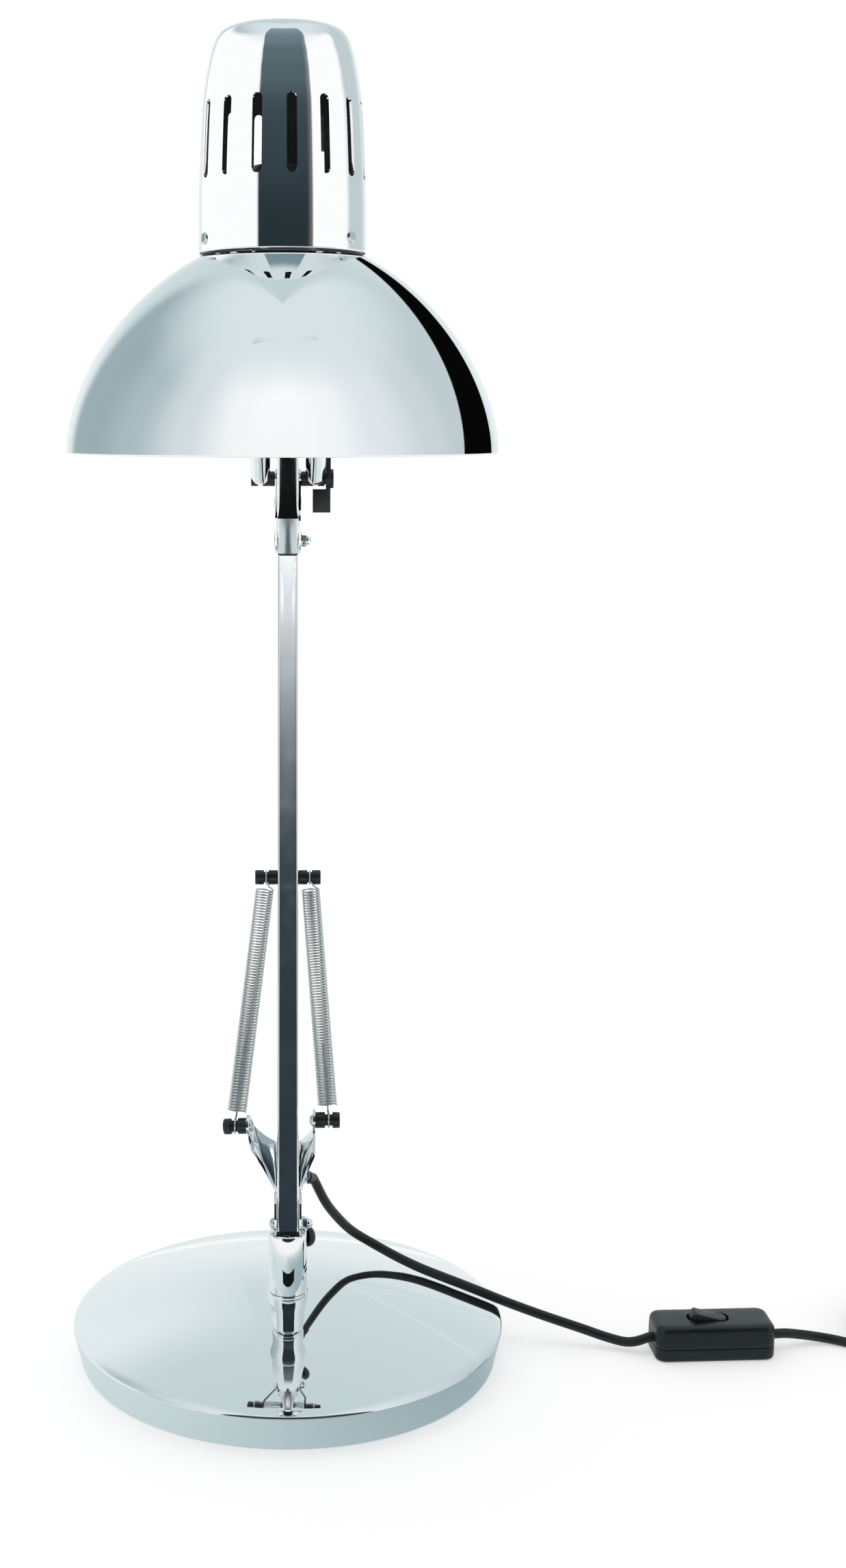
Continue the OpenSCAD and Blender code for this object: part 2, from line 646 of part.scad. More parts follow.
// ---- elbow ----
module elbow_outline()
{
  bar(elbow_up, lobe_r, elbow_low, lobe_r);
  bar(elbow_low, lobe_r, elbow_low_rear, lobe_r);
  bar(elbow_up_rear, lobe_r, elbow_low_rear, lobe_r);
  bar(elbow_up, lobe_r, elbow_pin, 4.6);
  bar(elbow_up_rear, lobe_r, elbow_pin, 4.6);
  polygon([elbow_up, elbow_low, elbow_low_rear, elbow_up_rear, elbow_pin]);
}
module elbow_plate(side)
{
  color(chrome) difference() {
    yz(side < 0 ? -plate_out : plate_x, bracket_t) elbow_outline();
    for (p = [elbow_up, elbow_low, elbow_low_rear, elbow_up_rear]) x_rod(-10, 10, bolt_r, p);
    x_rod(-10, 10, pin_rod_r, elbow_pin);
  }
}
module elbow_plate_left() { elbow_plate(-1); }
module elbow_plate_right() { elbow_plate(1); }
module elbow_rivets() { color(steel) for (p = [elbow_low, elbow_low_rear, elbow_up_rear]) rivet(p); }
module elbow_bolt()
{
  color(steel) {
    x_rod(-plate_out - rivet_head_h, -plate_out, 3.4, elbow_up);
    x_rod(-plate_out - eps, plate_out + nut_h, bolt_r, elbow_up);
  }
}
module elbow_cap_nut() { color(chrome) cap_nut(elbow_up); }
elbow_pin_out = 17;
module elbow_pins()
{
  color(black) for (s = [0, 1]) mirror([s, 0, 0]) {
    translate([plate_out, 0, 0]) x_turned(elbow_pin) grooved(arm_pin_r, elbow_pin_out - plate_out,
        upper_groove_x - plate_out);
    x_rod(plate_x - 0.1, plate_out + eps, pin_rod_r, elbow_pin);
  }
}
keeper_t = 2.2;
keeper_disc_r = 4.4;
keeper_x = upper_groove_x + sleeve_r + 0.15;   // just outside the sleeve
tab_x = 11.4;
tab_top = sleeve_r + 0.05;   // below the pin's middle, clear of the sleeve's round end
tab_low = 15.5;
// moulded keeper on the right pin: an upright strap, a round screw head and a finger tab
module pin_keeper()
{
  color(black) {
    yz(keeper_x, keeper_t) {
      bar(elbow_pin, 4, elbow_pin + [1.5, 16], 3);
      translate(elbow_pin + [-1, -tab_low]) square([5, tab_low - 1.5]);
    }
    x_rod(elbow_pin_out, keeper_x + eps, 2.6, elbow_pin);
    x_rod(keeper_x + keeper_t - eps, keeper_x + keeper_t + 1.3, keeper_disc_r, elbow_pin);
    translate([tab_x, elbow_pin[0] - 1, elbow_pin[1] - tab_low]) rotate([90, 0, 0])
      translate([0, 0, -1.6]) linear_extrude(1.6) difference() {
        square([keeper_x + keeper_t - tab_x, tab_low - tab_top]);
        translate([keeper_x + keeper_t - tab_x - 1.5, -eps]) square([1.5 + eps, 1.5]);
      }
  }
}

// ---- upper arm ----
module upper_front_tube()
{
  color(chrome) tube(elbow_up, upper_lean, upper_len, [0, upper_len], [upper_pin_at]);
}
module upper_front_plugs() { color(black) end_plugs(elbow_up, upper_lean, upper_len, [0, 1]); }
upper_pin_out = 17;
module upper_arm_pins() { through_pin(upper_pin, arm_pin_r, upper_pin_out, upper_groove_x, tube_w / 2); }
module upper_rear_tube() { color(chrome) tube(elbow_up_rear, upper_lean, upper_len, [0, upper_len]); }
module upper_rear_plugs() { color(black) end_plugs(elbow_up_rear, upper_lean, upper_len, [0, 1]); }
sleeve_ball_at = 2.55;    // middle of a sleeve's round end from the elbow pin's middle
sleeve_top = sleeve_ball_at - sleeve_r + sleeve_len;
sleeve_pin_gap = 0.15;    // play between a sleeve and the pin that crosses it
sleeve_wall = 0.8;
sleeve_hole_r = 3.1;
rod_r = 0.9;
function upper_foot(side) = [side * upper_groove_x, elbow_pin[0], elbow_pin[1]];
function upper_top(side) = [side * upper_groove_x, upper_pin[0], upper_pin[1]];
upper_spring_lean = atan2(upper_pin[0] - elbow_pin[0], upper_pin[1] - elbow_pin[1]);
// sleeve over the upper spring: the pin crosses its round end, and the spring's hook lies in the groove
module spring_sleeve(side)
{
  x = side * upper_groove_x;
  floor_at = sleeve_ball_at + 4;
  color(chrome) {
    difference() {
      translate([x, 0, 0]) along(elbow_pin, upper_spring_lean) rotate_extrude($fn = medium) polygon(concat(
        [[0, sleeve_ball_at - sleeve_r]],
        [for (a = [-75:15:0]) [sleeve_r * cos(a), sleeve_ball_at + sleeve_r * sin(a)]],
        [[sleeve_r, sleeve_top], [sleeve_hole_r, sleeve_top], [sleeve_hole_r, sleeve_top - 2],
         [sleeve_r - sleeve_wall, sleeve_top - 2], [sleeve_r - sleeve_wall, floor_at], [0, floor_at]]));
      x_rod(x - 10, x + 10, arm_pin_r + sleeve_pin_gap, elbow_pin);
    }
    translate([x, elbow_pin[0], elbow_pin[1]]) rotate([0, 90, 0])
      rotate_extrude($fn = medium) translate([loop_r, 0]) circle(wire_r, $fn = 16);
    translate([x, 0, 0]) along(elbow_pin, upper_spring_lean)
      translate([0, 0, loop_r]) cylinder(r = wire_r, h = 4.4 - loop_r, $fn = 16);
  }
}
module spring_sleeve_left() { spring_sleeve(-1); }
module spring_sleeve_right() { spring_sleeve(1); }
rod_len = 60;
// rod that runs into the sleeve, with its loop round the upper arm's pin
module upper_hook(side)
{
  x = side * upper_groove_x;
  color(steel) {
    translate([x, 0, 0]) along(upper_pin, upper_spring_lean + 180) {
      translate([0, 0, loop_r]) cylinder(r = wire_r, h = 3.5, $fn = 16);
      translate([0, 0, 6]) cylinder(r = rod_r, h = rod_len, $fn = medium);
    }
    translate([x, upper_pin[0], upper_pin[1]]) rotate([0, 90, 0])
      rotate_extrude($fn = medium) translate([loop_r, 0]) circle(wire_r, $fn = 16);
  }
}
module upper_hook_left() { upper_hook(-1); }
module upper_hook_right() { upper_hook(1); }

// ---- head bracket ----
module head_outline()
{
  bar(head_pivot, lobe_r, head_pivot_rear, lobe_r);
  bar(head_pivot, lobe_r, tilt_pivot, lobe_r);
  bar(head_pivot_rear, lobe_r, tilt_pivot, lobe_r);
  polygon([head_pivot, head_pivot_rear, tilt_pivot]);
}
module head_plates()
{
  color(chrome) for (x = [-plate_out, plate_x]) difference() {
    yz(x, bracket_t) head_outline();
    for (p = [head_pivot, head_pivot_rear, tilt_pivot]) x_rod(-10, 10, bolt_r, p);
  }
}
module head_bolts() { color(steel) for (p = [head_pivot, head_pivot_rear]) bolt(p); }
module head_cap_nuts() { color(chrome) for (p = [head_pivot, head_pivot_rear]) cap_nut(p); }
// tilt bolt with a black fluted hand knob on the right
module tilt_knob()
{
  x = plate_out;
  color(black) {
    x_rod(-x - eps, x + 1, bolt_r, tilt_pivot);
    x_rod(-x - 1.2, -x, 3.4, tilt_pivot);
    x_rod(x, x + 2, 4, tilt_pivot);
    difference() {
      x_rod(x + 1.9, x + 11, 7.5, tilt_pivot);
      for (a = [0:45:359])
        x_rod(x + 1, x + 12, 1.6, tilt_pivot + 8.2 * [cos(a), sin(a)]);
    }
  }
}
lug_w = tube_w;
module tilt_lug()
{
  color(chrome) difference() {
    yz(-lug_w / 2, lug_w) {
      translate(tilt_pivot) circle(lobe_r, $fn = medium);
      translate([head_y, tilt_pivot[1] - lobe_r]) square([tilt_pivot[0] - head_y, 2 * lobe_r]);
    }
    x_rod(-10, 10, hole_r, tilt_pivot);
    translate([head_side, head_y, housing_z + housing_lift]) housing_solid(0);
  }
}

// ---- head ----
function shade_rad(z) = shade_r * pow(1 - pow(z / shade_crown, 1.75), 1 / 1.75);
shade_steps = 20;
function shade_line(inset) = [for (i = [0:shade_steps])
  let (z = neck_z * sin(90 * i / shade_steps), r = shade_rad(z),
       n = unit([1, 0] * pow(r / shade_r, 0.75) / shade_r + [0, 1] * pow(z / shade_crown, 0.75) / shade_crown))
  [r, z] - inset * n];
module shade()
{
  outer = shade_line(0);
  inner = shade_line(head_wall);
  n = shade_steps;
  color(chrome) translate([head_side, head_y, shade_z]) rotate_extrude($fn = 96) polygon(concat(
    outer, [[neck_r, neck_z + 1.2], [cap_hole_r, neck_z + 1.2], [cap_hole_r, neck_z + 0.2]],
    [for (i = [n:-1:0]) inner[i]], [[shade_r - head_wall - 0.6, 0], [shade_r - head_wall - 0.6, -0.8],
        [shade_r, -0.8]]));
}
cap_hole_r = 20.5;
housing_lift = 1.2;
// outline of the housing's side as [radius lost, share of the height]
housing_side = [[0, 0], [0.2, 0.24], [0.8, 0.44], [1.7, 0.64], [3, 0.76], [4, 0.825], [5.1, 0.88],
    [6.7, 0.935], [9.3, 0.972], [13.8, 0.992], [20, 1]];
module housing_solid(inset)
{
  rotate_extrude($fn = 96) polygon(concat([[0, 0]],
    [for (p = housing_side) [max(0, housing_r - p[0] - inset), p[1] * (housing_h - inset)]],
    [[0, housing_h - inset]]));
}
slot_low = 25.6;
slot_turn = 6.6;
screw_z = 4.4;
screw_turn = -66.3;
module lamp_housing()
{
  color(chrome) translate([head_side, head_y, housing_z + housing_lift]) difference() {
    housing_solid(0);
    translate([0, 0, -eps]) housing_solid(head_wall);
    for (i = [0:slot_count - 1]) rotate([0, 0, -90 + slot_turn + 360 * i / slot_count])
      if (abs((slot_turn + 360 * i / slot_count) % 360 - 180) > 13)
        translate([housing_r - 8, 0, slot_low]) rotate([0, 90, 0]) linear_extrude(20) {
          translate([-slot_len + slot_w / 2, 0]) circle(slot_w / 2, $fn = 24);
          translate([-slot_w / 2, 0]) circle(slot_w / 2, $fn = 24);
          translate([-slot_len + slot_w / 2, -slot_w / 2]) square([slot_len - slot_w, slot_w]);
        }
    for (a = [0:120:359]) rotate([0, 0, -90 + screw_turn + a]) translate([housing_r - 3, 0, screw_z])
      rotate([0, 90, 0]) cylinder(r = 1.3, h = 6, $fn = medium);
  }
}
module housing_screws()
{
  color(steel) translate([head_side, head_y, housing_z + housing_lift])
    for (a = [0:120:359]) rotate([0, 0, -90 + screw_turn + a]) translate([0, 0, screw_z]) rotate([0, 90, 0]) {
      translate([0, 0, housing_r - 4]) cylinder(r = 1.25, h = 4.2, $fn = medium);
      translate([0, 0, housing_r + 0.02]) cylinder(r = 2.2, h = 0.8, $fn = medium);
    }
}
// ring inside the housing that the screws hold and the shade hangs on
module shade_ring()
{
  color(steel) translate([head_side, head_y, housing_z + housing_lift]) difference() {
    cylinder(r = housing_r - head_wall - 0.15, h = 8, $fn = fine);
    translate([0, 0, 1.5]) cylinder(r = housing_r - 5, h = 8, $fn = fine);
    translate([0, 0, -1]) cylinder(r = holder_r + 0.1, h = 10, $fn = fine);
    for (a = [0:120:359]) rotate([0, 0, -90 + screw_turn + a]) translate([housing_r - 8, 0, screw_z])
      rotate([0, 90, 0]) cylinder(r = 1.3, h = 8, $fn = medium);
  }
}
holder_r = 18;
holder_h = 44;
holder_drop = 13;
cap_len = 24;
module lamp_holder()
{
  z = housing_z + housing_lift - holder_drop;
  color(black) translate([head_side, head_y, z]) difference() {
    union() {
      cylinder(r = holder_r, h = holder_h - 10, $fn = fine);
      translate([0, 0, holder_h - 10]) cylinder(r1 = holder_r, r2 = 11, h = 10, $fn = fine);
      for (i = [0:8]) translate([0, 0, 18 + 2 * i]) cylinder(r = holder_r + 0.6, h = 1, $fn = fine);
      translate([0, 0, holder_drop + 1.5]) cylinder(r = holder_r + 3, h = 2, $fn = fine);
    }
    translate([0, 0, -1]) cylinder(r = cap_r27 + 0.4, h = cap_len + 5, $fn = fine);
  }
}
cap_r27 = 13;
bulb_seat = 2;
module bulb_cap()
{
  z = housing_z + housing_lift - holder_drop + bulb_seat;
  color(steel) translate([head_side, head_y, z]) {
    cylinder(r = cap_r27, h = cap_len - 4, $fn = fine);
    translate([0, 0, cap_len - 4 - eps]) cylinder(r1 = cap_r27 - 1, r2 = 5, h = 6, $fn = fine);
  }
}
bulb_drop = 34;    // middle of the bulb below the lower end of the cap
module bulb_glass()
{
  z = housing_z + housing_lift - holder_drop + bulb_seat;
  color([1, 1, 0.96, 0.6]) translate([head_side, head_y, z]) rotate_extrude($fn = fine) difference() {
    union() {
      translate([0, -bulb_drop]) circle(bulb_r, $fn = fine);
      polygon([[0, 0], [cap_r27 - 0.4, 0], [cap_r27 + 0.3, -6], [bulb_r * 0.93,
          -bulb_drop + bulb_r * 0.36], [0, -bulb_drop]]);
    }
    translate([-60, -100]) square([60, 200]);
  }
}

// ---- cord ----
cord_r = cord_d / 2;
nose_len = 24;
nose_way = unit([0.43, 0.78, -0.45]);
nose_from = [0, cord_anchor[0] + 7, cord_anchor[1]];
// cord anchor between the wing plates, with a tapered nose that eases the cord's bend
module cord_grommet()
{
  turn = atan2(nose_way[1], nose_way[0]);
  color(black) {
    difference() {
      union() {
        x_rod(-plate_x + 0.02, plate_x - 0.02, 4.3, cord_anchor);
        translate([-3.6, cord_anchor[0], cord_anchor[1] - 3.9]) cube([7.2, 7, 7.8]);
      }
      x_rod(-10, 10, rivet_r, cord_anchor);
    }
    translate(nose_from) rotate([0, 0, turn]) rotate([0, acos(nose_way[2]), 0]) translate([0, 0, -2])
        difference() {
      cylinder(r1 = cord_r + 1.8, r2 = cord_r + 0.6, h = nose_len + 2, $fn = medium);
      for (i = [0:3]) translate([0, 0, 8 + 4 * i]) difference() {
        cylinder(r = cord_r + 3, h = 1.4, $fn = medium);
        translate([0, 0, -1]) cylinder(r = cord_r + 0.4, h = 4, $fn = medium);
      }
    }
  }
}
switch_at = [198, -4];
switch_turn = 3;
switch_cord_z = switch_h / 2 - 0.5;
function on_switch(d) = [switch_at[0] + d * cos(switch_turn), switch_at[1] + d * sin(switch_turn),
    switch_cord_z];
nose_end = nose_from + (nose_len + 0.7) * nose_way;
// hand-placed middle of the cord from the anchor, over the base and the table, to the switch
run_points = concat([nose_end, nose_end + 2 * nose_way, nose_end + 4 * nose_way], [
  [17.6, 22, 63.9], [23.5, 28, 53.6], [31, 34, 43.8], [42, 34, 36.8], [53, 29.5, 32.2],
  [63, 24.5, 29.2], [73, 19.5, 27], [83, 15, 24.8], [94, 11, 21.8], [105, 8, 18.4], [121, 4.5, 13.7],
  [138, 1.5, 8.9], [149, -0.3, 5.6], [157.5, -3.3, 4.5], [163, -5.1, 5.6]],
  [on_switch(-switch_len / 2 - 0.6), on_switch(-switch_len / 2 + 2.2)]);
function smooth_path(p, m) = concat([for (i = [0:len(p) - 2], j = [0:m - 1])
  let (a = p[max(i - 1, 0)], b = p[i], c = p[i + 1], d = p[min(i + 2, len(p) - 1)], t = j / m)
  b + t * (c - a) / 2 + t * t * (2 * a - 5 * b + 4 * c - d) / 2 + t * t * t * (3 * b - a - 3 * c + d) / 2],
  [p[len(p) - 1]]);
// coil of cord: four layers that spiral in and out in turn
coil_at = [302.6, 15.3];
coil_from = 235;                     // angle at which the cord comes in
coil_pitch = cord_d + 0.45;
coil_low_z = cord_r * 0.8;
layer_loops = coil_loops / 4;
coil_out_r = coil_mean_d / 2 + layer_loops * coil_pitch / 2;
function coil_radius(s) = let (q = s / layer_loops, k = floor(q), f = q - k)
  coil_out_r - layer_loops * coil_pitch * (k % 2 == 0 ? f : 1 - f);
function coil_height(s) = let (k = max(1, min(3, round(s / layer_loops))),
    f = (s - k * layer_loops + 0.25) / 0.5)
  coil_low_z + coil_pitch * (k - 1 + max(0, min(1, f)));
function coil_spot(s) = let (a = coil_from + 360 * s)
  [coil_at[0] + coil_radius(s) * cos(a), coil_at[1] + coil_radius(s) * sin(a), coil_height(s)];
function coil_way(s) = let (a = coil_from + 360 * s) [-sin(a), cos(a), 0];
coil_entry = coil_spot(0);
coil_steps = 24;
coil_line = [for (i = [0:coil_loops * coil_steps]) coil_spot(i / coil_steps)];
plug_at = [346, 29];
plug_turn = 58;
plug_z = 7.5;
coil_exit = coil_spot(coil_loops);
plug_way = [cos(plug_turn), sin(plug_turn), 0];
plug_entry = [plug_at[0], plug_at[1], plug_z];
end_points = smooth_path([coil_exit, coil_exit + 5 * coil_way(coil_loops),
  (coil_exit + plug_entry) / 2 + [1, 1, 0], plug_entry - 5 * plug_way, plug_entry - 0.3 * plug_way], 3);
tail_points = concat([on_switch(switch_len / 2 - 2.2), on_switch(switch_len / 2 + 0.6)],
  [[233.5, -0.8, 7.5], [241, 2.2, 5.5],
  [249, 4, 3.6], [257, 3.2, 2.5], [265, -0.6, 2.25], [276, -6.2, 2.2]],
  [coil_entry - 4.5 * coil_way(0), coil_entry - 0.7 * coil_way(0)]);
module cord_run() { color(black) sweep(smooth_path(run_points, 3), cord_r, 8, [1, 0, 0]); }
module cord_tail() { color(black) sweep(smooth_path(tail_points, 3), cord_r, 8, [0, 0, 1]); }
module cord_coil()
{
  echo(str("least gap of the cord's coil to itself, mm: ", self_gap(coil_line, cord_r, 13)));
  color(black) difference() {
    sweep(concat(coil_line, [for (i = [1:len(end_points) - 1]) end_points[i]]), cord_r, 6, [0, 0, 1]);
    translate([200, -100, -10]) cube([250, 250, 10]);
  }
}
// band round the loops of the coil
module coil_tie()
{
  r0 = coil_out_r - layer_loops * coil_pitch - cord_r - 0.9;
  r1 = coil_out_r + cord_r + 0.9;
  top = coil_low_z + 3 * coil_pitch + cord_r + 0.9;
  color(steel) translate([coil_at[0], coil_at[1], 0]) rotate([0, 0, 100]) rotate([90, 0, 0])
    translate([0, 0, -2]) linear_extrude(4) difference() {
      translate([r0 - 0.8, 0]) square([r1 - r0 + 1.6, top + 0.8]);
      translate([r0, -1]) square([r1 - r0, top + 1]);
    }
}

// ---- switch ----
rocker_at = -2;
rocker_len = 17.4;
rocker_w = 8;
rocker_z = switch_h - 5;
module on_table_switch() { translate([switch_at[0], switch_at[1], 0]) rotate([0, 0, switch_turn]) children(); }
module corner_rect(w, h, r)
{
  translate([-w / 2 + r, -h / 2]) square([w - 2 * r, h]);
  translate([-w / 2, -h / 2 + r]) square([w, h - 2 * r]);
  for (x = [-1, 1], y = [-1, 1]) translate([x * (w / 2 - r), y * (h / 2 - r)]) circle(r, $fn = medium);
}
module switch_body()
{
  color(black) on_table_switch() difference() {
    intersection() {
      linear_extrude(switch_h) corner_rect(switch_len, switch_w, 5);
      translate([0, 30, switch_h / 2]) rotate([90, 0, 0]) linear_extrude(60) corner_rect(switch_len,
          switch_h, 4);
      translate([-40, 0, switch_h / 2]) rotate([90, 0, 90]) linear_extrude(80) corner_rect(switch_w,
          switch_h, 4);
    }
    // seam between the two halves
    translate([0, 0, switch_h * 0.52]) difference() {
      linear_extrude(0.4) square([switch_len + 2, switch_w + 2], center = true);
      translate([0, 0, -1]) linear_extrude(3) corner_rect(switch_len - 1, switch_w - 1, 4.6);
    }
    for (s = [-1, 1]) translate([s * switch_len / 2, 0, switch_cord_z]) rotate([0, 90, 0])
      cylinder(r = cord_r + 0.6, h = 6, center = true, $fn = medium);
    translate([rocker_at - rocker_len / 2 - 0.4, -rocker_w / 2 - 0.3, rocker_z - 5])
        cube([rocker_len + 0.8, rocker_w + 0.6, 20]);
    translate([rocker_at, 0, rocker_z]) rotate([90, 0, 0]) translate([0, 0, -7])
        cylinder(r = 1.2 + run_gap, h = 14, $fn = medium);
  }
}
rocker_tip = 6;   // rest angle of the rocker, its left end up
module switch_rocker()
{
  color(black) on_table_switch() translate([rocker_at, 0, rocker_z]) rotate([0, rocker_tip, 0]) {
    translate([0, 0, 1.6]) rotate([90, 0, 0]) translate([0, 0, -rocker_w / 2]) linear_extrude(rocker_w)
      polygon([[-rocker_len / 2 + 0.3, 0], [-4, -3], [4, -3], [rocker_len / 2 - 0.3, 0],
          [rocker_len / 2 - 0.3, 2.6],
               [rocker_len / 4, 3.5], [0, 3.2], [-rocker_len / 4, 3.5], [-rocker_len / 2 + 0.3, 2.6]]);
    rotate([90, 0, 0]) translate([0, 0, -6.5]) cylinder(r = 1.2, h = 13, $fn = medium);
  }
}
// flat plug with two round pins
module mains_plug()
{
  color(black) translate([plug_at[0], plug_at[1], 0]) rotate([0, 0, plug_turn]) {
    translate([12, -9, 0]) cube([22, 18, 15]);
    translate([0, 0, plug_z]) rotate([0, 90, 0]) cylinder(r1 = cord_r + 0.6, r2 = 5.5, h = 12 + eps,
        $fn = medium);
    for (y = [-9.5, 9.5] * 0.6) translate([34 - eps, y, plug_z]) rotate([0, 90, 0]) cylinder(r = 2,
        h = 19, $fn = medium);
  }
}

base_shell();
base_weight();
base_plate();
base_pad();
stem_cup();
swivel_stud();
stud_nut();
stem_barrel();
bracket_rivets();
clamp_knob();
wing_plate_left();
wing_plate_right();
wing_pins();
turret_bolts();
turret_cap_nuts();
lower_front_tube();
lower_front_plugs();
lower_arm_pins();
lower_rear_tube();
lower_rear_plugs();
cord_grommet();
lower_spring_left();
lower_spring_right();
lower_hook_left();
lower_hook_right();
elbow_plate_left();
elbow_plate_right();
elbow_rivets();
elbow_bolt();
elbow_cap_nut();
elbow_pins();
pin_keeper();
upper_front_tube();
upper_front_plugs();
upper_arm_pins();
upper_rear_tube();
upper_rear_plugs();
spring_sleeve_left();
spring_sleeve_right();
upper_hook_left();
upper_hook_right();
head_plates();
head_bolts();
head_cap_nuts();
tilt_knob();
tilt_lug();
lamp_housing();
housing_screws();
shade();
shade_ring();
lamp_holder();
bulb_glass();
bulb_cap();
cord_run();
cord_tail();
cord_coil();
coil_tie();
switch_body();
switch_rocker();
mains_plug();
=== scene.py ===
"""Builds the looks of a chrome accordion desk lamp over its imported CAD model."""

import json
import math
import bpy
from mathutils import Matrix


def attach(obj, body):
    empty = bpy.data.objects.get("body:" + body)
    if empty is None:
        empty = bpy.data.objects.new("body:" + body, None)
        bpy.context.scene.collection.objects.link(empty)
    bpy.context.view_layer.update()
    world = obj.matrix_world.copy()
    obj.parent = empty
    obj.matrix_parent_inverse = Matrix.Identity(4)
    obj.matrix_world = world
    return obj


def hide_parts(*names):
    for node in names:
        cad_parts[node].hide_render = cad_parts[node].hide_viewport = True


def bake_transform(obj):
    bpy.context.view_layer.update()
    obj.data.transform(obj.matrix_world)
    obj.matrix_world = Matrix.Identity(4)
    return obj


bl_info = {
    "name": "Accordion Desk Lamp",
    "version": (1, 0, 0),
    "blender": (4, 5, 0),
    "location": "View3D > Sidebar > Desk Lamp",
    "description": "Shade, springs, pins, cord, switch and chrome finishes of an accordion desk lamp",
    "category": "Object",
}

import bmesh
import bpy
from bpy.props import FloatProperty, FloatVectorProperty, IntProperty, PointerProperty
from mathutils import Matrix, Vector

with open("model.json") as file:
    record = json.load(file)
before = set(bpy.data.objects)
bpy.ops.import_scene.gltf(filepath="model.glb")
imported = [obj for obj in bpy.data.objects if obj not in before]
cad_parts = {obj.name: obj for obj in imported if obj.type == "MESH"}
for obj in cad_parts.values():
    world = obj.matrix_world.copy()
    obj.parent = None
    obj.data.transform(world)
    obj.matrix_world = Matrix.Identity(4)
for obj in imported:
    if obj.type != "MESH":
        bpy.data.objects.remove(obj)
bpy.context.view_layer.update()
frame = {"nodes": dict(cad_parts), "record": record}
MM = 0.001
RECORD = frame["record"]
JOINTS = {j["name"]: Vector(j["pos_m"]) for j in RECORD["behaviour"]["joints"]}


# ---------------------------------------------------------------- places
FRONT_PIVOT = JOINTS["lower_arm"]
REAR_PIVOT = JOINTS["lower_link"]
ELBOW_LOW = JOINTS["elbow_level"]
ELBOW_UP = JOINTS["upper_arm"]
ELBOW_UP_REAR = JOINTS["upper_link"]
HEAD_PIVOT = JOINTS["head_level"]
TILT_PIVOT = JOINTS["head_tilt"]
LOWER_LINK = REAR_PIVOT - FRONT_PIVOT
UPPER_LINK = ELBOW_UP_REAR - ELBOW_UP
ELBOW_LOW_REAR = ELBOW_LOW + LOWER_LINK
HEAD_PIVOT_REAR = HEAD_PIVOT + UPPER_LINK
LOWER_WAY = (ELBOW_LOW - FRONT_PIVOT).normalized()
UPPER_WAY = (HEAD_PIVOT - ELBOW_UP).normalized()
LOWER_LEN = (ELBOW_LOW - FRONT_PIVOT).length
UPPER_LEN = (HEAD_PIVOT - ELBOW_UP).length
ELBOW_PIN = JOINTS["sleeve_right_turn"] * 1.0
ELBOW_PIN.x = 0.0
UPPER_PIN = JOINTS["rod_right_turn"] * 1.0
UPPER_PIN.x = 0.0
LOWER_PIN = JOINTS["spring_right_turn"] * 1.0
LOWER_PIN.x = 0.0
WING_PIN = Vector((0.0, -0.037, 0.1229))
WING_RISE = {-1: 0.0, 1: 0.0026}
STEM_AXIS = Vector((0.0, -0.043, 0.0))
HEAD_AXIS = Vector((-0.002, -0.1206, 0.0))


# ---------------------------------------------------------------- sizes and colours
class LampSizes(bpy.types.PropertyGroup):
    """Sizes that a user of the lamp would change."""

    spring_turns: IntProperty(name="Spring turns", description="Turns of each lower spring", default=79,
        min=20, max=110)
    wire_radius: FloatProperty(name="Wire radius", description="Radius of the spring wire",
        default=0.43 * MM, unit="LENGTH")
    spring_radius: FloatProperty(name="Spring radius", description="Outer radius of the lower springs",
        default=4.4 * MM, unit="LENGTH")
    edge_ease: FloatProperty(name="Edge easing", description="Width of the eased edge on plates and tubes",
        default=0.16 * MM, unit="LENGTH")
    cord_diameter: FloatProperty(name="Cord diameter", description="Diameter of the mains cord",
        default=4.5 * MM, unit="LENGTH")
    slot_count: IntProperty(name="Cooling slots", description="Number of slots round the lamp housing",
        default=15, min=6, max=24)
    bulb_radius: FloatProperty(name="Bulb radius", description="Radius of the bulb's globe",
        default=22.4 * MM, unit="LENGTH")


class LampFinishes(bpy.types.PropertyGroup):
    """Colours of the finishes."""

    chrome: FloatVectorProperty(name="Chrome", description="Colour of the chrome plating", subtype="COLOR",
        size=3, default=(0.9, 0.91, 0.915), min=0, max=1)
    spring_steel: FloatVectorProperty(name="Spring steel", description="Colour of the drawn wire",
        subtype="COLOR", size=3, default=(0.62, 0.63, 0.63), min=0, max=1)
    moulding: FloatVectorProperty(name="Black moulding", description="Colour of the moulded black pieces",
        subtype="COLOR", size=3, default=(0.006, 0.008, 0.0095), min=0, max=1)
    sheath: FloatVectorProperty(name="Cord sheath", description="Colour of the cord's sheath",
        subtype="COLOR", size=3, default=(0.007, 0.0085, 0.0095), min=0, max=1)
    lacquer: FloatVectorProperty(name="Reflector lacquer", description="Colour inside the shade",
        subtype="COLOR", size=3, default=(0.5, 0.51, 0.5), min=0, max=1)


def sizes():
    return bpy.context.scene.lamp_sizes


def finishes():
    return bpy.context.scene.lamp_finishes


# ---------------------------------------------------------------- finishes
def linked(links, *rows):
    """Links between nodes, each given as node, output, node, input."""
    for source, out, target, into in rows:
        links.new(source.outputs[out], target.inputs[into])


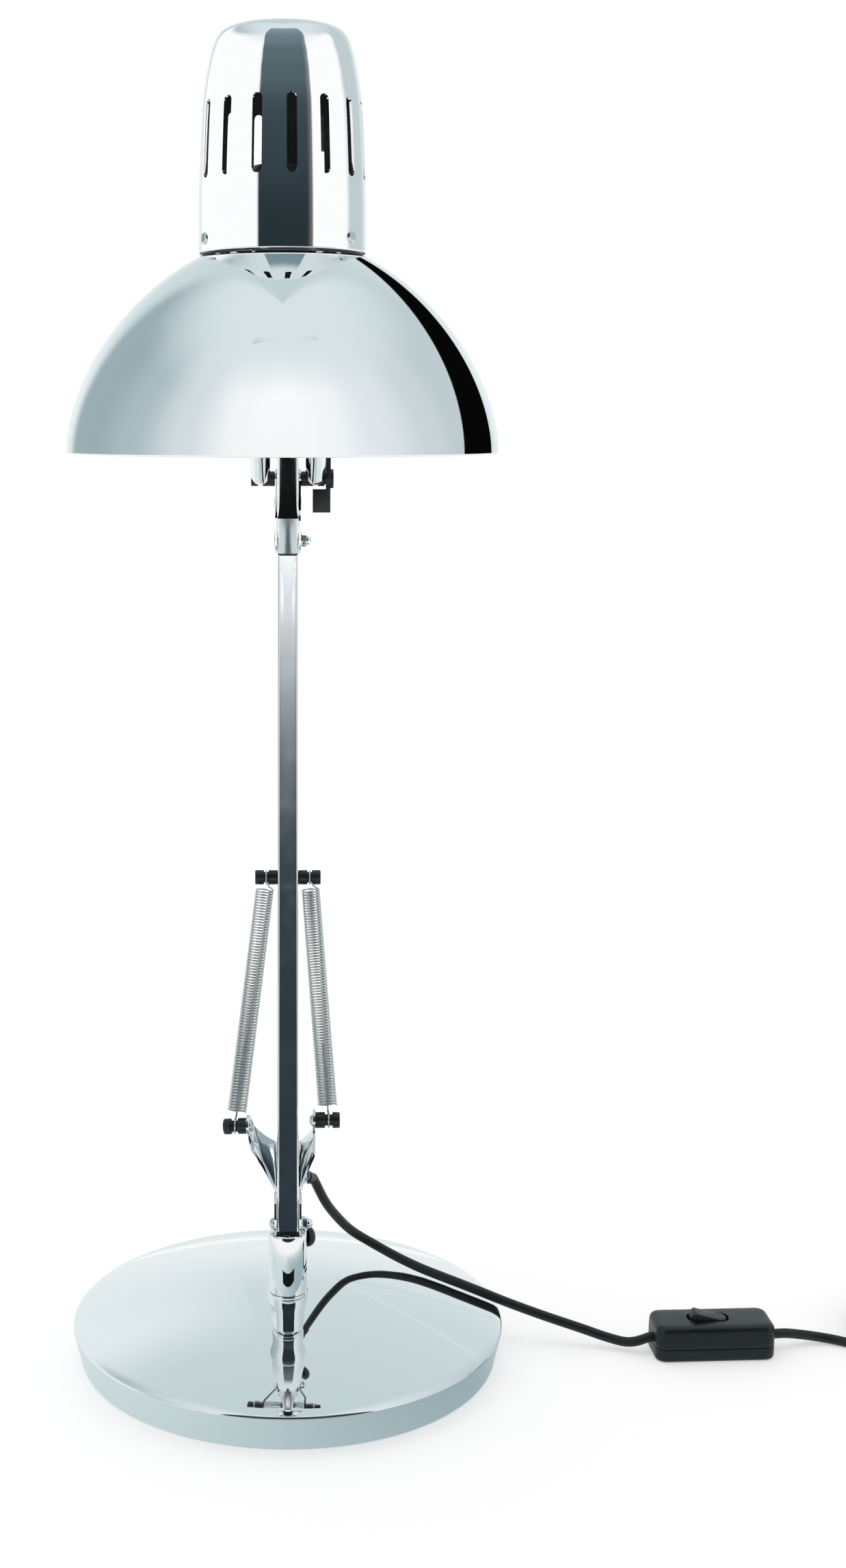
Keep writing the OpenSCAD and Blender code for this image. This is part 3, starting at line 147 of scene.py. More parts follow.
def worn_marks():
    """Node group: faint smears and dust, as masks that a finish mixes in."""
    name = "handling_marks"
    if name in bpy.data.node_groups:
        return bpy.data.node_groups[name]
    tree = bpy.data.node_groups.new(name, "ShaderNodeTree")
    face = tree.interface
    for label, value in (("Smear size", 60.0), ("Dust size", 900.0), ("Base roughness", 0.05),
            ("Smear roughness", 0.05)):
        face.new_socket(label, in_out="INPUT", socket_type="NodeSocketFloat").default_value = value
    face.new_socket("Roughness", in_out="OUTPUT", socket_type="NodeSocketFloat")
    face.new_socket("Dust", in_out="OUTPUT", socket_type="NodeSocketFloat")
    n, link = tree.nodes, tree.links
    enter, leave = n.new("NodeGroupInput"), n.new("NodeGroupOutput")
    spot = n.new("ShaderNodeTexCoord")
    smear = n.new("ShaderNodeTexNoise")
    smear.inputs["Detail"].default_value = 3.0
    smear.inputs["Distortion"].default_value = 1.2
    dust = n.new("ShaderNodeTexNoise")
    dust.inputs["Detail"].default_value = 2.0
    ramp = n.new("ShaderNodeMapRange")
    ramp.inputs["From Min"].default_value, ramp.inputs["From Max"].default_value = 0.45, 0.75
    specks = n.new("ShaderNodeMapRange")
    specks.inputs["From Min"].default_value, specks.inputs["From Max"].default_value = 0.66, 0.8
    add = n.new("ShaderNodeMath")
    add.operation = "MULTIPLY_ADD"
    linked(link, (spot, "Object", smear, "Vector"), (spot, "Object", dust, "Vector"),
        (enter, "Smear size", smear, "Scale"), (enter, "Dust size", dust, "Scale"),
        (smear, "Fac", ramp, "Value"), (dust, "Fac", specks, "Value"), (ramp, "Result", add, 0),
        (enter, "Smear roughness", add, 1), (enter, "Base roughness", add, 2),
        (add, 0, leave, "Roughness"), (specks, "Result", leave, "Dust"))
    return tree


def moulded_grain():
    """Node group: the fine pebble of moulded or cast surfaces, as a height."""
    name = "fine_grain"
    if name in bpy.data.node_groups:
        return bpy.data.node_groups[name]
    tree = bpy.data.node_groups.new(name, "ShaderNodeTree")
    face = tree.interface
    face.new_socket("Grain size", in_out="INPUT", socket_type="NodeSocketFloat").default_value = 2500.0
    face.new_socket("Wave size", in_out="INPUT", socket_type="NodeSocketFloat").default_value = 120.0
    face.new_socket("Height", in_out="OUTPUT", socket_type="NodeSocketFloat")
    n, link = tree.nodes, tree.links
    enter, leave = n.new("NodeGroupInput"), n.new("NodeGroupOutput")
    spot = n.new("ShaderNodeTexCoord")
    fine, broad, mix = n.new("ShaderNodeTexNoise"), n.new("ShaderNodeTexNoise"), n.new("ShaderNodeMath")
    fine.inputs["Detail"].default_value = 2.0
    mix.operation = "MULTIPLY_ADD"
    mix.inputs[1].default_value = 0.5
    for texture, size in ((fine, "Grain size"), (broad, "Wave size")):
        link.new(spot.outputs["Object"], texture.inputs["Vector"])
        link.new(enter.outputs[size], texture.inputs["Scale"])
    linked(link, (fine, "Fac", mix, 0), (broad, "Fac", mix, 2), (mix, 0, leave, "Height"))
    return tree


def finish(name, color, metallic, roughness, smear, size=60.0, grain=0.0, grain_size=2500.0, dust=0.0,
        **plain):
    """A Principled finish with handling marks, and with a fine grain where it's asked for."""
    material = bpy.data.materials.new(name)
    material.use_nodes = True
    n, link = material.node_tree.nodes, material.node_tree.links
    shader = n["Principled BSDF"]
    marks = n.new("ShaderNodeGroup")
    marks.node_tree = worn_marks()
    marks.inputs["Smear size"].default_value = size
    marks.inputs["Base roughness"].default_value = roughness
    marks.inputs["Smear roughness"].default_value = smear
    link.new(marks.outputs["Roughness"], shader.inputs["Roughness"])
    shader.inputs["Base Color"].default_value = (*color, 1.0)
    shader.inputs["Metallic"].default_value = metallic
    if dust:
        mix = n.new("ShaderNodeMix")
        mix.data_type = "RGBA"
        fade = n.new("ShaderNodeMath")
        fade.operation = "MULTIPLY"
        fade.inputs[1].default_value = dust
        link.new(marks.outputs["Dust"], fade.inputs[0])
        link.new(fade.outputs[0], mix.inputs["Factor"])
        mix.inputs[6].default_value = (*color, 1.0)
        mix.inputs[7].default_value = (*[min(1.0, c + 0.12) for c in color], 1.0)
        link.new(mix.outputs[2], shader.inputs["Base Color"])
    if grain:
        pebble, bump = n.new("ShaderNodeGroup"), n.new("ShaderNodeBump")
        pebble.node_tree = moulded_grain()
        pebble.inputs["Grain size"].default_value = grain_size
        bump.inputs["Strength"].default_value = 0.6
        bump.inputs["Distance"].default_value = grain
        link.new(pebble.outputs["Height"], bump.inputs["Height"])
        link.new(bump.outputs["Normal"], shader.inputs["Normal"])
    for socket, value in plain.items():
        shader.inputs[socket.replace("_", " ").title().replace("Ior", "IOR")].default_value = value
    return material


MATERIALS = {}


def material(name):
    """The finish of that name, made the first time it's asked for."""
    if name not in MATERIALS:
        c = finishes()
        MATERIALS[name] = {
            "polished_chrome": lambda: finish(name, c.chrome, 1.0, 0.018, 0.03, 45.0),
            "satin_chrome": lambda: finish(name, c.chrome, 1.0, 0.11, 0.04, 45.0),
            # near-black inside of the housing: painted shade that stands for its unlit inside
            "painted_shade_inside": lambda: finish(name, (0.05, 0.055, 0.06), 0.6, 0.45, 0.1, 90.0, grain=0.00004),
            "spring_steel": lambda: finish(name, c.spring_steel, 1.0, 0.1, 0.06, 300.0),
            "black_plastic": lambda: finish(name, c.moulding, 0.0, 0.33, 0.12, 90.0, grain=0.00006,
                dust=0.25),
            "black_cord": lambda: finish(name, c.sheath, 0.0, 0.42, 0.12, 120.0, grain=0.00008,
                grain_size=1400.0, dust=0.35),
            "iron": lambda: finish(name, (0.1, 0.1, 0.11), 1.0, 0.55, 0.2, 80.0, grain=0.0004,
                grain_size=700.0),
            "pad_rubber": lambda: finish(name, (0.02, 0.02, 0.02), 0.0, 0.75, 0.1, 60.0, grain=0.0002,
                grain_size=1500.0),
            "bulb_white": lambda: finish(name, (0.86, 0.86, 0.83), 0.0, 0.22, 0.08, 60.0,
                subsurface_weight=0.25, coat_weight=0.4),
            "cap_aluminium": lambda: finish(name, (0.72, 0.72, 0.71), 1.0, 0.28, 0.1, 150.0),
            "tie_wire": lambda: finish(name, (0.03, 0.03, 0.03), 0.0, 0.5, 0.1, 200.0, grain=0.00005),
            "reflector_lacquer": lambda: finish(name, c.lacquer, 0.85, 0.4, 0.08, 60.0, grain=0.00003,
                grain_size=900.0),
            "turned_steel": lambda: finish(name, (0.66, 0.67, 0.68), 1.0, 0.12, 0.08, 200.0),
            "dark_porcelain": lambda: finish(name, (0.09, 0.1, 0.105), 0.0, 0.25, 0.1, 90.0, grain=0.00004),
        }[name]()
    return MATERIALS[name]


# ---------------------------------------------------------------- mesh helpers
def mesh_object(name, verts, faces):
    mesh = bpy.data.meshes.new(name)
    mesh.from_pydata([tuple(v) for v in verts], [], faces)
    obj = bpy.data.objects.new(name, mesh)
    bpy.context.scene.collection.objects.link(obj)
    return obj


def outward(obj, merge=1e-6):
    """Doubles merged and faces turned outward."""
    bm = bmesh.new()
    bm.from_mesh(obj.data)
    bmesh.ops.remove_doubles(bm, verts=bm.verts, dist=merge)
    bmesh.ops.recalc_face_normals(bm, faces=bm.faces)
    bm.to_mesh(obj.data)
    bm.free()
    return obj


def smooth_faces(obj, angle=32.0):
    for face in obj.data.polygons:
        face.use_smooth = True
    obj.data.set_sharp_from_angle(angle=math.radians(angle))
    return obj


def applied(obj):
    """Modifiers of an object turned into its own mesh."""
    bpy.context.view_layer.update()
    done = bpy.data.meshes.new_from_object(obj.evaluated_get(bpy.context.evaluated_depsgraph_get()))
    obj.modifiers.clear()
    old, obj.data = obj.data, done
    done.name = obj.name
    bpy.data.meshes.remove(old)
    return obj


def joined(name, pieces):
    """One mesh object from several."""
    bm = bmesh.new()
    slots = []
    for piece in pieces:
        start = len(bm.faces)
        bm.from_mesh(piece.data)
        bm.faces.ensure_lookup_table()
        for i in range(start, len(bm.faces)):
            face = bm.faces[i]
            mat = piece.data.materials[face.material_index] if piece.data.materials else None
            if mat not in slots:
                slots.append(mat)
            face.material_index = slots.index(mat)
        data = piece.data
        bpy.data.objects.remove(piece)
        bpy.data.meshes.remove(data)
    mesh = bpy.data.meshes.new(name)
    bm.to_mesh(mesh)
    bm.free()
    for mat in slots:
        if mat:
            mesh.materials.append(mat)
    obj = bpy.data.objects.new(name, mesh)
    bpy.context.scene.collection.objects.link(obj)
    return obj


def dressed(obj, finish_name, body, nodes=(), angle=32.0):
    """Gives a finished piece its material, its smooth faces and its place in the frame."""
    obj.data.materials.clear()
    obj.data.materials.append(material(finish_name))
    smooth_faces(obj, angle)
    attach(obj, body)
    if nodes:
        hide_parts(*nodes)
    return obj


def arc_rows(r, rise, z, angles):
    """Rows of a turned profile that follow an ellipse round (0, z), at these angles in degrees."""
    turns = [math.radians(a) for a in angles]
    return [(r * math.cos(t), z + rise * math.sin(t)) for t in turns]


def lathe(name, profile, place=Matrix.Identity(4), segments=96, closed=True):
    """Ring of a (radius, height) profile in metres round local Z. A radius of 0 is a pole."""
    verts, rings = [], []
    for r, z in profile:
        if r < 1e-9:
            rings.append([len(verts)])
            verts.append(place @ Vector((0.0, 0.0, z)))
        else:
            rings.append(list(range(len(verts), len(verts) + segments)))
            for k in range(segments):
                a = 2 * math.pi * k / segments
                verts.append(place @ Vector((r * math.cos(a), r * math.sin(a), z)))
    faces = []
    pairs = list(zip(rings, rings[1:]))
    if closed and len(rings[0]) > 1 and len(rings[-1]) > 1:
        pairs.append((rings[-1], rings[0]))
    for low, high in pairs:
        for k in range(segments):
            n = (k + 1) % segments
            if len(low) == 1 and len(high) == 1:
                break
            if len(low) == 1:
                faces.append((low[0], high[n], high[k]))
            elif len(high) == 1:
                faces.append((low[k], low[n], high[0]))
            else:
                faces.append((low[k], low[n], high[n], high[k]))
    return outward(mesh_object(name, verts, faces))


def turned(name, rows, place, segments):
    """Lathe from (radius, height) rows in millimetres, its last row not joined to its first."""
    return lathe(name, [(r * MM, z * MM) for r, z in rows], place, segments, closed=False)


def facing(point, way):
    """Matrix that puts local Z along a direction at a point."""
    way = Vector(way).normalized()
    return Matrix.Translation(point) @ way.to_track_quat("Z", "Y").to_matrix().to_4x4()


def side_place(point, side, x):
    """Local Z along X, outward on that side, at a distance from the middle."""
    return facing(Vector((side * x, point.y, point.z)), (side, 0, 0))


def sweep(name, path, radius, sides=12, start_cap=True, end_cap=True, flat=1.0, up=Vector((0, 0, 1))):
    """Round tube along points, without twist. radius is one value or one for each point."""
    path = [Vector(p) for p in path]
    n = len(path)
    tangents = [(path[min(i + 1, n - 1)] - path[max(i - 1, 0)]).normalized() for i in range(n)]
    u = (up - up.dot(tangents[0]) * tangents[0]).normalized()
    verts, faces = [], []
    for i, p in enumerate(path):
        t = tangents[i]
        u = (u - u.dot(t) * t).normalized()
        v = t.cross(u)
        r = radius[i] if isinstance(radius, (list, tuple)) else radius
        for k in range(sides):
            a = 2 * math.pi * (k + 0.5) / sides
            verts.append(p + r * (math.cos(a) * flat * u + math.sin(a) * v))
    for i in range(n - 1):
        for k in range(sides):
            m = (k + 1) % sides
            faces.append((i * sides + k, i * sides + m, (i + 1) * sides + m, (i + 1) * sides + k))
    if start_cap:
        faces.append(tuple(reversed(range(sides))))
    if end_cap:
        faces.append(tuple(range((n - 1) * sides, n * sides)))
    return outward(mesh_object(name, verts, faces), 1e-8)


def eased_copy(name, node, ease=None, segments=2, angle=30.0):
    """Copy of a CAD node with its flat faces made whole and its edges eased."""
    src = frame["nodes"][node]
    mesh = src.data.copy()
    mesh.name = name
    obj = bpy.data.objects.new(name, mesh)
    bpy.context.scene.collection.objects.link(obj)
    bm = bmesh.new()
    bm.from_mesh(mesh)
    bmesh.ops.remove_doubles(bm, verts=bm.verts, dist=2e-6)
    bmesh.ops.dissolve_degenerate(bm, edges=bm.edges, dist=1e-6)
    bmesh.ops.dissolve_limit(bm, angle_limit=math.radians(0.5), verts=bm.verts, edges=bm.edges)
    bm.to_mesh(mesh)
    bm.free()
    bevel = obj.modifiers.new("ease", "BEVEL")
    bevel.width = ease or sizes().edge_ease
    bevel.segments = segments
    bevel.limit_method = "ANGLE"
    bevel.angle_limit = math.radians(angle)
    bevel.use_clamp_overlap = True
    bevel.harden_normals = False
    return applied(obj)


def rounded_outline(w, h, r, n=6):
    """Corner-rounded rectangle, centred, as (x, y) points."""
    points = []
    for cx, cy, a0 in ((1, 1, 0), (-1, 1, 90), (-1, -1, 180), (1, -1, 270)):
        for k in range(n + 1):
            a = math.radians(a0 + 90 * k / n)
            points.append((cx * (w / 2 - r) + r * math.cos(a), cy * (h / 2 - r) + r * math.sin(a)))
    return points


def stacked(name, rings, place=Matrix.Identity(4)):
    """Closed body from outlines of the same number of points, one above the other."""
    n = len(rings[0])
    verts = [place @ Vector(p) for ring in rings for p in ring]
    faces = [(i * n + k, i * n + (k + 1) % n, (i + 1) * n + (k + 1) % n, (i + 1) * n + k)
        for i in range(len(rings) - 1) for k in range(n)]
    faces += [tuple(reversed(range(n))), tuple(range((len(rings) - 1) * n, len(rings) * n))]
    return outward(mesh_object(name, verts, faces))


def prism(name, outline, z0, z1, place=Matrix.Identity(4), ease=0.0):
    """Outline raised from z0 to z1, its end edges eased."""
    levels = [(z0, 1.0), (z1, 1.0)] if not ease else [(z0, None), (z0 + ease, 1.0), (z1 - ease, 1.0),
        (z1, None)]
    rings = []
    for z, full in levels:
        inset = [1.0 if full else 1.0 - ease / max(math.hypot(x, y), 1e-6) for x, y in outline]
        rings.append([(x * k, y * k, z) for (x, y), k in zip(outline, inset)])
    return stacked(name, rings, place)


def catmull(points, steps):
    """Smooth curve through given points, as part.scad draws it."""
    p = [Vector(q) for q in points]
    out = []
    for i in range(len(p) - 1):
        a, b, c, d = p[max(i - 1, 0)], p[i], p[i + 1], p[min(i + 2, len(p) - 1)]
        for j in range(steps):
            t = j / steps
            bend = t * t * (2 * a - 5 * b + 4 * c - d) / 2
            out.append(b + t * (c - a) / 2 + bend + t * t * t * (3 * b - a - 3 * c + d) / 2)
    out.append(p[-1])
    return out


# ---------------------------------------------------------------- geometry node trees
def coil_tree():
    """Geometry Nodes: a helical spring of wire along +Z."""
    name = "coil_spring"
    if name in bpy.data.node_groups:
        return bpy.data.node_groups[name]
    tree = bpy.data.node_groups.new(name, "GeometryNodeTree")
    face = tree.interface
    face.new_socket("Geometry", in_out="OUTPUT", socket_type="NodeSocketGeometry")
    for label, kind, value in (("Turns", "Float", 79.0), ("Radius", "Float", 0.004),
            ("Length", "Float", 0.1),
            ("Wire radius", "Float", 0.0004), ("Steps per turn", "Int", 20),
            ("Wire sides", "Int", 8)):
        face.new_socket(label, in_out="INPUT", socket_type="NodeSocket" + kind).default_value = value
    face.new_socket("Finish", in_out="INPUT", socket_type="NodeSocketMaterial")
    n, link = tree.nodes, tree.links
    enter, leave = n.new("NodeGroupInput"), n.new("NodeGroupOutput")
    spiral = n.new("GeometryNodeCurveSpiral")
    section = n.new("GeometryNodeCurvePrimitiveCircle")
    sweep_node = n.new("GeometryNodeCurveToMesh")
    sweep_node.inputs["Fill Caps"].default_value = True
    paint, real = n.new("GeometryNodeSetMaterial"), n.new("GeometryNodeRealizeInstances")
    linked(link, (enter, "Turns", spiral, "Rotations"), (enter, "Steps per turn", spiral, "Resolution"),
        (enter, "Radius", spiral, "Start Radius"), (enter, "Radius", spiral, "End Radius"),
        (enter, "Length", spiral, "Height"), (enter, "Wire radius", section, "Radius"),
        (enter, "Wire sides", section, "Resolution"), (spiral, "Curve", sweep_node, "Curve"),
        (section, "Curve", sweep_node, "Profile Curve"), (sweep_node, "Mesh", real, "Geometry"),
        (real, "Geometry", paint, "Geometry"), (enter, "Finish", paint, "Material"),
        (paint, "Geometry", leave, "Geometry"))
    return tree


def ring_tree():
    """Geometry Nodes: copies of a capsule-like rib or screw round local Z."""
    name = "ring_of_ribs"
    if name in bpy.data.node_groups:
        return bpy.data.node_groups[name]
    tree = bpy.data.node_groups.new(name, "GeometryNodeTree")
    face = tree.interface
    face.new_socket("Geometry", in_out="OUTPUT", socket_type="NodeSocketGeometry")
    for label, kind, value in (("Count", "Int", 24), ("Ring radius", "Float", 0.007),
            ("Rib radius", "Float", 0.0006),
            ("Rib length", "Float", 0.008), ("Sides", "Int", 10)):
        face.new_socket(label, in_out="INPUT", socket_type="NodeSocket" + kind).default_value = value
    face.new_socket("Finish", in_out="INPUT", socket_type="NodeSocketMaterial")
    n, link = tree.nodes, tree.links
    enter, leave = n.new("NodeGroupInput"), n.new("NodeGroupOutput")
    ring = n.new("GeometryNodeCurvePrimitiveCircle")
    points = n.new("GeometryNodeCurveToPoints")
    rib = n.new("GeometryNodeMeshCylinder")
    place = n.new("GeometryNodeInstanceOnPoints")
    real, paint = n.new("GeometryNodeRealizeInstances"), n.new("GeometryNodeSetMaterial")
    points.mode = "COUNT"
    linked(link, (enter, "Ring radius", ring, "Radius"), (enter, "Count", ring, "Resolution"),
        (ring, "Curve", points, "Curve"), (enter, "Count", points, "Count"),
        (enter, "Sides", rib, "Vertices"), (enter, "Rib radius", rib, "Radius"),
        (enter, "Rib length", rib, "Depth"), (points, "Points", place, "Points"),
        (rib, "Mesh", place, "Instance"), (place, "Instances", real, "Geometry"),
        (real, "Geometry", paint, "Geometry"), (enter, "Finish", paint, "Material"),
        (paint, "Geometry", leave, "Geometry"))
    return tree


def from_nodes(name, tree, place, **values):
    """Plain mesh that a node tree makes, moved to its place."""
    obj = mesh_object(name, [(0, 0, 0)], [])
    modifier = obj.modifiers.new("nodes", "NODES")
    modifier.node_group = tree
    for item in tree.interface.items_tree:
        if item.in_out == "INPUT" and item.name in values:
            modifier[item.identifier] = values[item.name]
    applied(obj)
    obj.data.transform(place)
    return obj


# ---------------------------------------------------------------- camera
class LAMP_OT_camera(bpy.types.Operator):
    """Places the camera at the photograph's viewing angle"""

    bl_idname = "lamp.camera"
    bl_label = "Camera"

    def execute(self, context):
        data = bpy.data.cameras.new("view")
        camera = bpy.data.objects.new("view", data)
        context.scene.collection.objects.link(camera)
        data.lens = 46.15
        data.sensor_width = data.sensor_height = 36.0
        data.sensor_fit = "AUTO"
        data.shift_x = 0.0861
        data.clip_start, data.clip_end = 0.01, 50.0
        camera.location = (0.0, -0.884, 0.4301)
        camera.rotation_euler = (math.radians(90.0 - 10.29), 0.0, 0.0)
        context.scene.camera = camera
        return {"FINISHED"}


# ---------------------------------------------------------------- cord
SWITCH_AT = Vector((0.198, -0.004, 0.0))
SWITCH_TURN = math.radians(3.0)
NOSE_WAY = Vector((0.43, 0.78, -0.45)).normalized()
NOSE_FROM = Vector((0.0, -0.005, 0.0895))
NOSE_LEN = 0.024
CORD_Z = 0.008
PLUG_AT = Vector((0.346, 0.029, 0.0))
PLUG_TURN = math.radians(58.0)
PLUG_Z = 0.0075
COIL_AT = (302.6, 15.3)
COIL_FROM, COIL_LOOPS, COIL_PITCH, COIL_MEAN = 235.0, 9.25, 4.95, 25.0


def on_switch(d):
    return Vector((SWITCH_AT.x + d * math.cos(SWITCH_TURN), SWITCH_AT.y + d * math.sin(SWITCH_TURN),
        CORD_Z))


def coil_spot(s):
    """Point of the stored coil after s loops: four layers that spiral in and out in turn."""
    layer = COIL_LOOPS / 4
    k = int(s / layer + 1e-9)
    f = s / layer - k
    radius = COIL_MEAN + layer * COIL_PITCH / 2 - layer * COIL_PITCH * (f if k % 2 == 0 else 1 - f)
    m = max(1, min(3, round(s / layer)))
    climb = max(0.0, min(1.0, (s - m * layer + 0.25) / 0.5))
    a = math.radians(COIL_FROM + 360 * s)
    return Vector((COIL_AT[0] + radius * math.cos(a), COIL_AT[1] + radius * math.sin(a),
        2.25 + COIL_PITCH * (m - 1 + climb))) * MM


def coil_way(s):
    a = math.radians(COIL_FROM + 360 * s)
    return Vector((-math.sin(a), math.cos(a), 0.0))


def cord_route():
    """The cord's middle from its anchor to the switch, the coil and the plug."""
    nose_end = NOSE_FROM + (NOSE_LEN + 0.0003) * NOSE_WAY
    run = [nose_end, nose_end + 0.002 * NOSE_WAY, nose_end + 0.004 * NOSE_WAY] + [Vector(p) * MM for p in (
        (17.6, 22, 63.9), (23.5, 28, 53.6), (31, 34, 43.8), (42, 34, 36.8), (53, 29.5, 32.2),
        (63, 24.5, 29.2), (73, 19.5, 27), (83, 15, 24.8), (94, 11, 21.8), (105, 8, 18.4), (121, 4.5, 13.7),
        (138, 1.5, 8.9), (149, -0.3, 5.6), (157.5, -3.3, 4.5), (163, -5.1, 5.6))] + [on_switch(-0.0286),
        on_switch(-0.0258)]
    entry = coil_spot(0)
    tail = [on_switch(0.0258), on_switch(0.0286)] + [Vector(p) * MM for p in (
        (233.5, -0.8, 7.5), (241, 2.2, 5.5), (249, 4, 3.6), (257, 3.2, 2.5), (265, -0.6, 2.25),
        (276, -6.2, 2.25))] + [
        entry - 0.0045 * coil_way(0), entry]
    steps = 48
    loops = [coil_spot(i / steps) for i in range(1, int(COIL_LOOPS * steps) + 1)]
    away = coil_spot(COIL_LOOPS)
    plug_way = Vector((math.cos(PLUG_TURN), math.sin(PLUG_TURN), 0.0))
    plug_entry = PLUG_AT + Vector((0, 0, PLUG_Z))
    end = catmull([away, away + 0.005 * coil_way(COIL_LOOPS),
        (away + plug_entry) / 2 + Vector((0.001, 0.001, 0)),
        plug_entry - 0.005 * plug_way, plug_entry - 0.0003 * plug_way], 5)
    return catmull(run, 5) + catmull(tail, 5) + loops + end[1:]


class LAMP_OT_cord(bpy.types.Operator):
    """Lays the mains cord from the stem over the base to the switch, the stored coil and the plug"""

    bl_idname = "lamp.cord"
    bl_label = "Cord"

    def execute(self, context):
        path = cord_route()
        r = sizes().cord_diameter / 2
        cord = sweep("mains_cord", path, r, 16)
        cord.data.materials.append(material("black_cord"))
        smooth_faces(cord)
        length = sum((b - a).length for a, b in zip(path, path[1:]))
        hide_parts("cord_run", "cord_tail", "cord_coil")
        CORD["piece"], CORD["path"], CORD["length"] = cord, path, length
        return {"FINISHED"}


CORD = {}


# ---------------------------------------------------------------- base and stem
DOME_R, DOME_C = 320.5, -287.5


def dome_z(r):
    return DOME_C + math.sqrt(DOME_R ** 2 - r ** 2)


class LAMP_OT_base(bpy.types.Operator):
    """Makes the domed base with its rolled rim"""

    bl_idname = "lamp.base"
    bl_label = "Base"

    def execute(self, context):
        outer = [(96.2, 0.4), (96.6, 1.0)]
        outer += [(96.6 + 3.1 * t, 1.0 + 13.6 * t) for t in (0.1, 0.25, 0.45, 0.65, 0.85, 1.0)]
        # the rolled corner between the wall and the dome
        for k in range(9):
            a = math.radians(-8 + 80 * k / 8)
            outer.append((98.45 + 1.45 * math.cos(a), 15.75 + 1.45 * math.sin(a)))
        outer += [(r, dome_z(r)) for r in (97.6, 95, 90, 84, 76, 68, 60, 50, 40, 30, 20, 12, 6)]
        outer += [(0.0, dome_z(0))]
        inner = [(0.0, dome_z(0) - 1.2)] + [(r, dome_z(r) - 1.2)
            for r in (12, 30, 50, 70, 90, 96)] + [(98.3, 14.5), (95.3, 0.4)]
        shell = lathe("base_dome", [(r * MM, z * MM) for r, z in outer + inner], segments=288)
        dressed(shell, "polished_chrome", "base", ["base_shell"], 60)
        return {"FINISHED"}


class LAMP_OT_stem(bpy.types.Operator):
    """Makes the turned cup, the slotted barrel and the clamp knob"""

    bl_idname = "lamp.stem"
    bl_label = "Stem"

    def execute(self, context):
        base = Matrix.Translation(STEM_AXIS)
        foot = dome_z(43) - 0.7
        profile = [(4.1, foot), (4.75, foot), (4.75, 30.6)]
        profile += [(4.9 + 2.2 * math.cos(math.radians(a)), 32.2 + 2.2 * math.sin(math.radians(a)))
            for a in range(-84, 1, 12)]
        profile += [(7.2, 35.6), (7.45, 38.4), (7.8, 40.6), (8.25, 42.0), (8.6, 43.3), (8.8, 44.8),
            (8.92, 46.6), (8.95, 48.0), (8.8, 48.35), (8.4, 48.4), (7.5, 48.4), (7.5, 46.4), (4.1, 46.4)]
        cup = lathe("turned_cup", [(r * MM, z * MM) for r, z in profile], base, 96)
        dressed(cup, "polished_chrome", "base", ["stem_cup"], 40)
        barrel = eased_copy("slotted_barrel", "stem_barrel", 0.22 * MM, 3)
        dressed(barrel, "polished_chrome", "turret", ["stem_barrel"], 28)
        way = Vector((math.cos(math.radians(28)), math.sin(math.radians(28)), 0.0))
        at = STEM_AXIS + Vector((0, 0, 0.072))
        profile = [(0, 7.2), (1.5, 7.2), (1.5, 8.8), (4.5, 8.8), (4.78, 9.0), (4.8, 9.6)]
        profile += arc_rows(4.8, 3.36, 9.7, range(6, 90, 7)) + [(0, 13.06)]
        knob = turned("clamp_button", profile, facing(at, way), 48)
        dressed(knob, "black_plastic", "clamp_knob", ["clamp_knob"], 40)
        return {"FINISHED"}


class LAMP_OT_wings(bpy.types.Operator):
    """Makes the bracket plates with their bent wings"""

    bl_idname = "lamp.wings"
    bl_label = "Wing plates"

    def execute(self, context):
        for side in ("left", "right"):
            plate = eased_copy("wing_" + side, "wing_plate_" + side)
            dressed(plate, "polished_chrome", "turret", ["wing_plate_" + side], 30)
        return {"FINISHED"}


# ---------------------------------------------------------------- arms
def square_tube(name, start, way, length, body, node):
    """Square tube with rounded corners between its end plugs."""
    outline = rounded_outline(9.6 * MM, 9.6 * MM, 1.2 * MM, 6)
    place = facing(start, way)
    # the outline's sides stay square to the arm's plane
    side = place.to_3x3() @ Vector((1, 0, 0))
    if abs(side.x) < 0.99:
        place = place @ Matrix.Rotation(math.radians(90), 4, "Z") if abs(side.x) < 0.1 else place
    reach = 3.7 * MM
    tube = prism(name, outline, -reach, length + reach, place)
    return dressed(tube, "satin_chrome", body, [node], 30)


def end_plugs(name, start, way, length, body, node):
    outline = rounded_outline(9.5 * MM, 9.5 * MM, 1.2 * MM, 5)
    pieces = []
    for at, out in ((start - way * 3.7 * MM, -way), (start + way * (length + 3.7 * MM), way)):
        place = facing(at, out)
        pieces.append(prism(name, outline, -0.1 * MM, 1.6 * MM, place, 0.35 * MM))
    return dressed(joined(name, pieces), "black_plastic", body, [node], 30)


class LAMP_OT_arms(bpy.types.Operator):
    """Makes the four square tubes and their end plugs"""

    bl_idname = "lamp.arms"
    bl_label = "Arm tubes"

    def execute(self, context):
        for name, start, way, length, body in (
                ("lower_front", FRONT_PIVOT, LOWER_WAY, LOWER_LEN, "lower_front"),
                ("lower_rear", REAR_PIVOT, LOWER_WAY, LOWER_LEN, "lower_rear"),
                ("upper_front", ELBOW_UP, UPPER_WAY, UPPER_LEN, "upper_front"),
                ("upper_rear", ELBOW_UP_REAR, UPPER_WAY, UPPER_LEN, "upper_rear")):
            square_tube(name + "_bar", start, way, length, body, name + "_tube")
            end_plugs(name + "_caps", start, way, length, body, name + "_plugs")
        return {"FINISHED"}


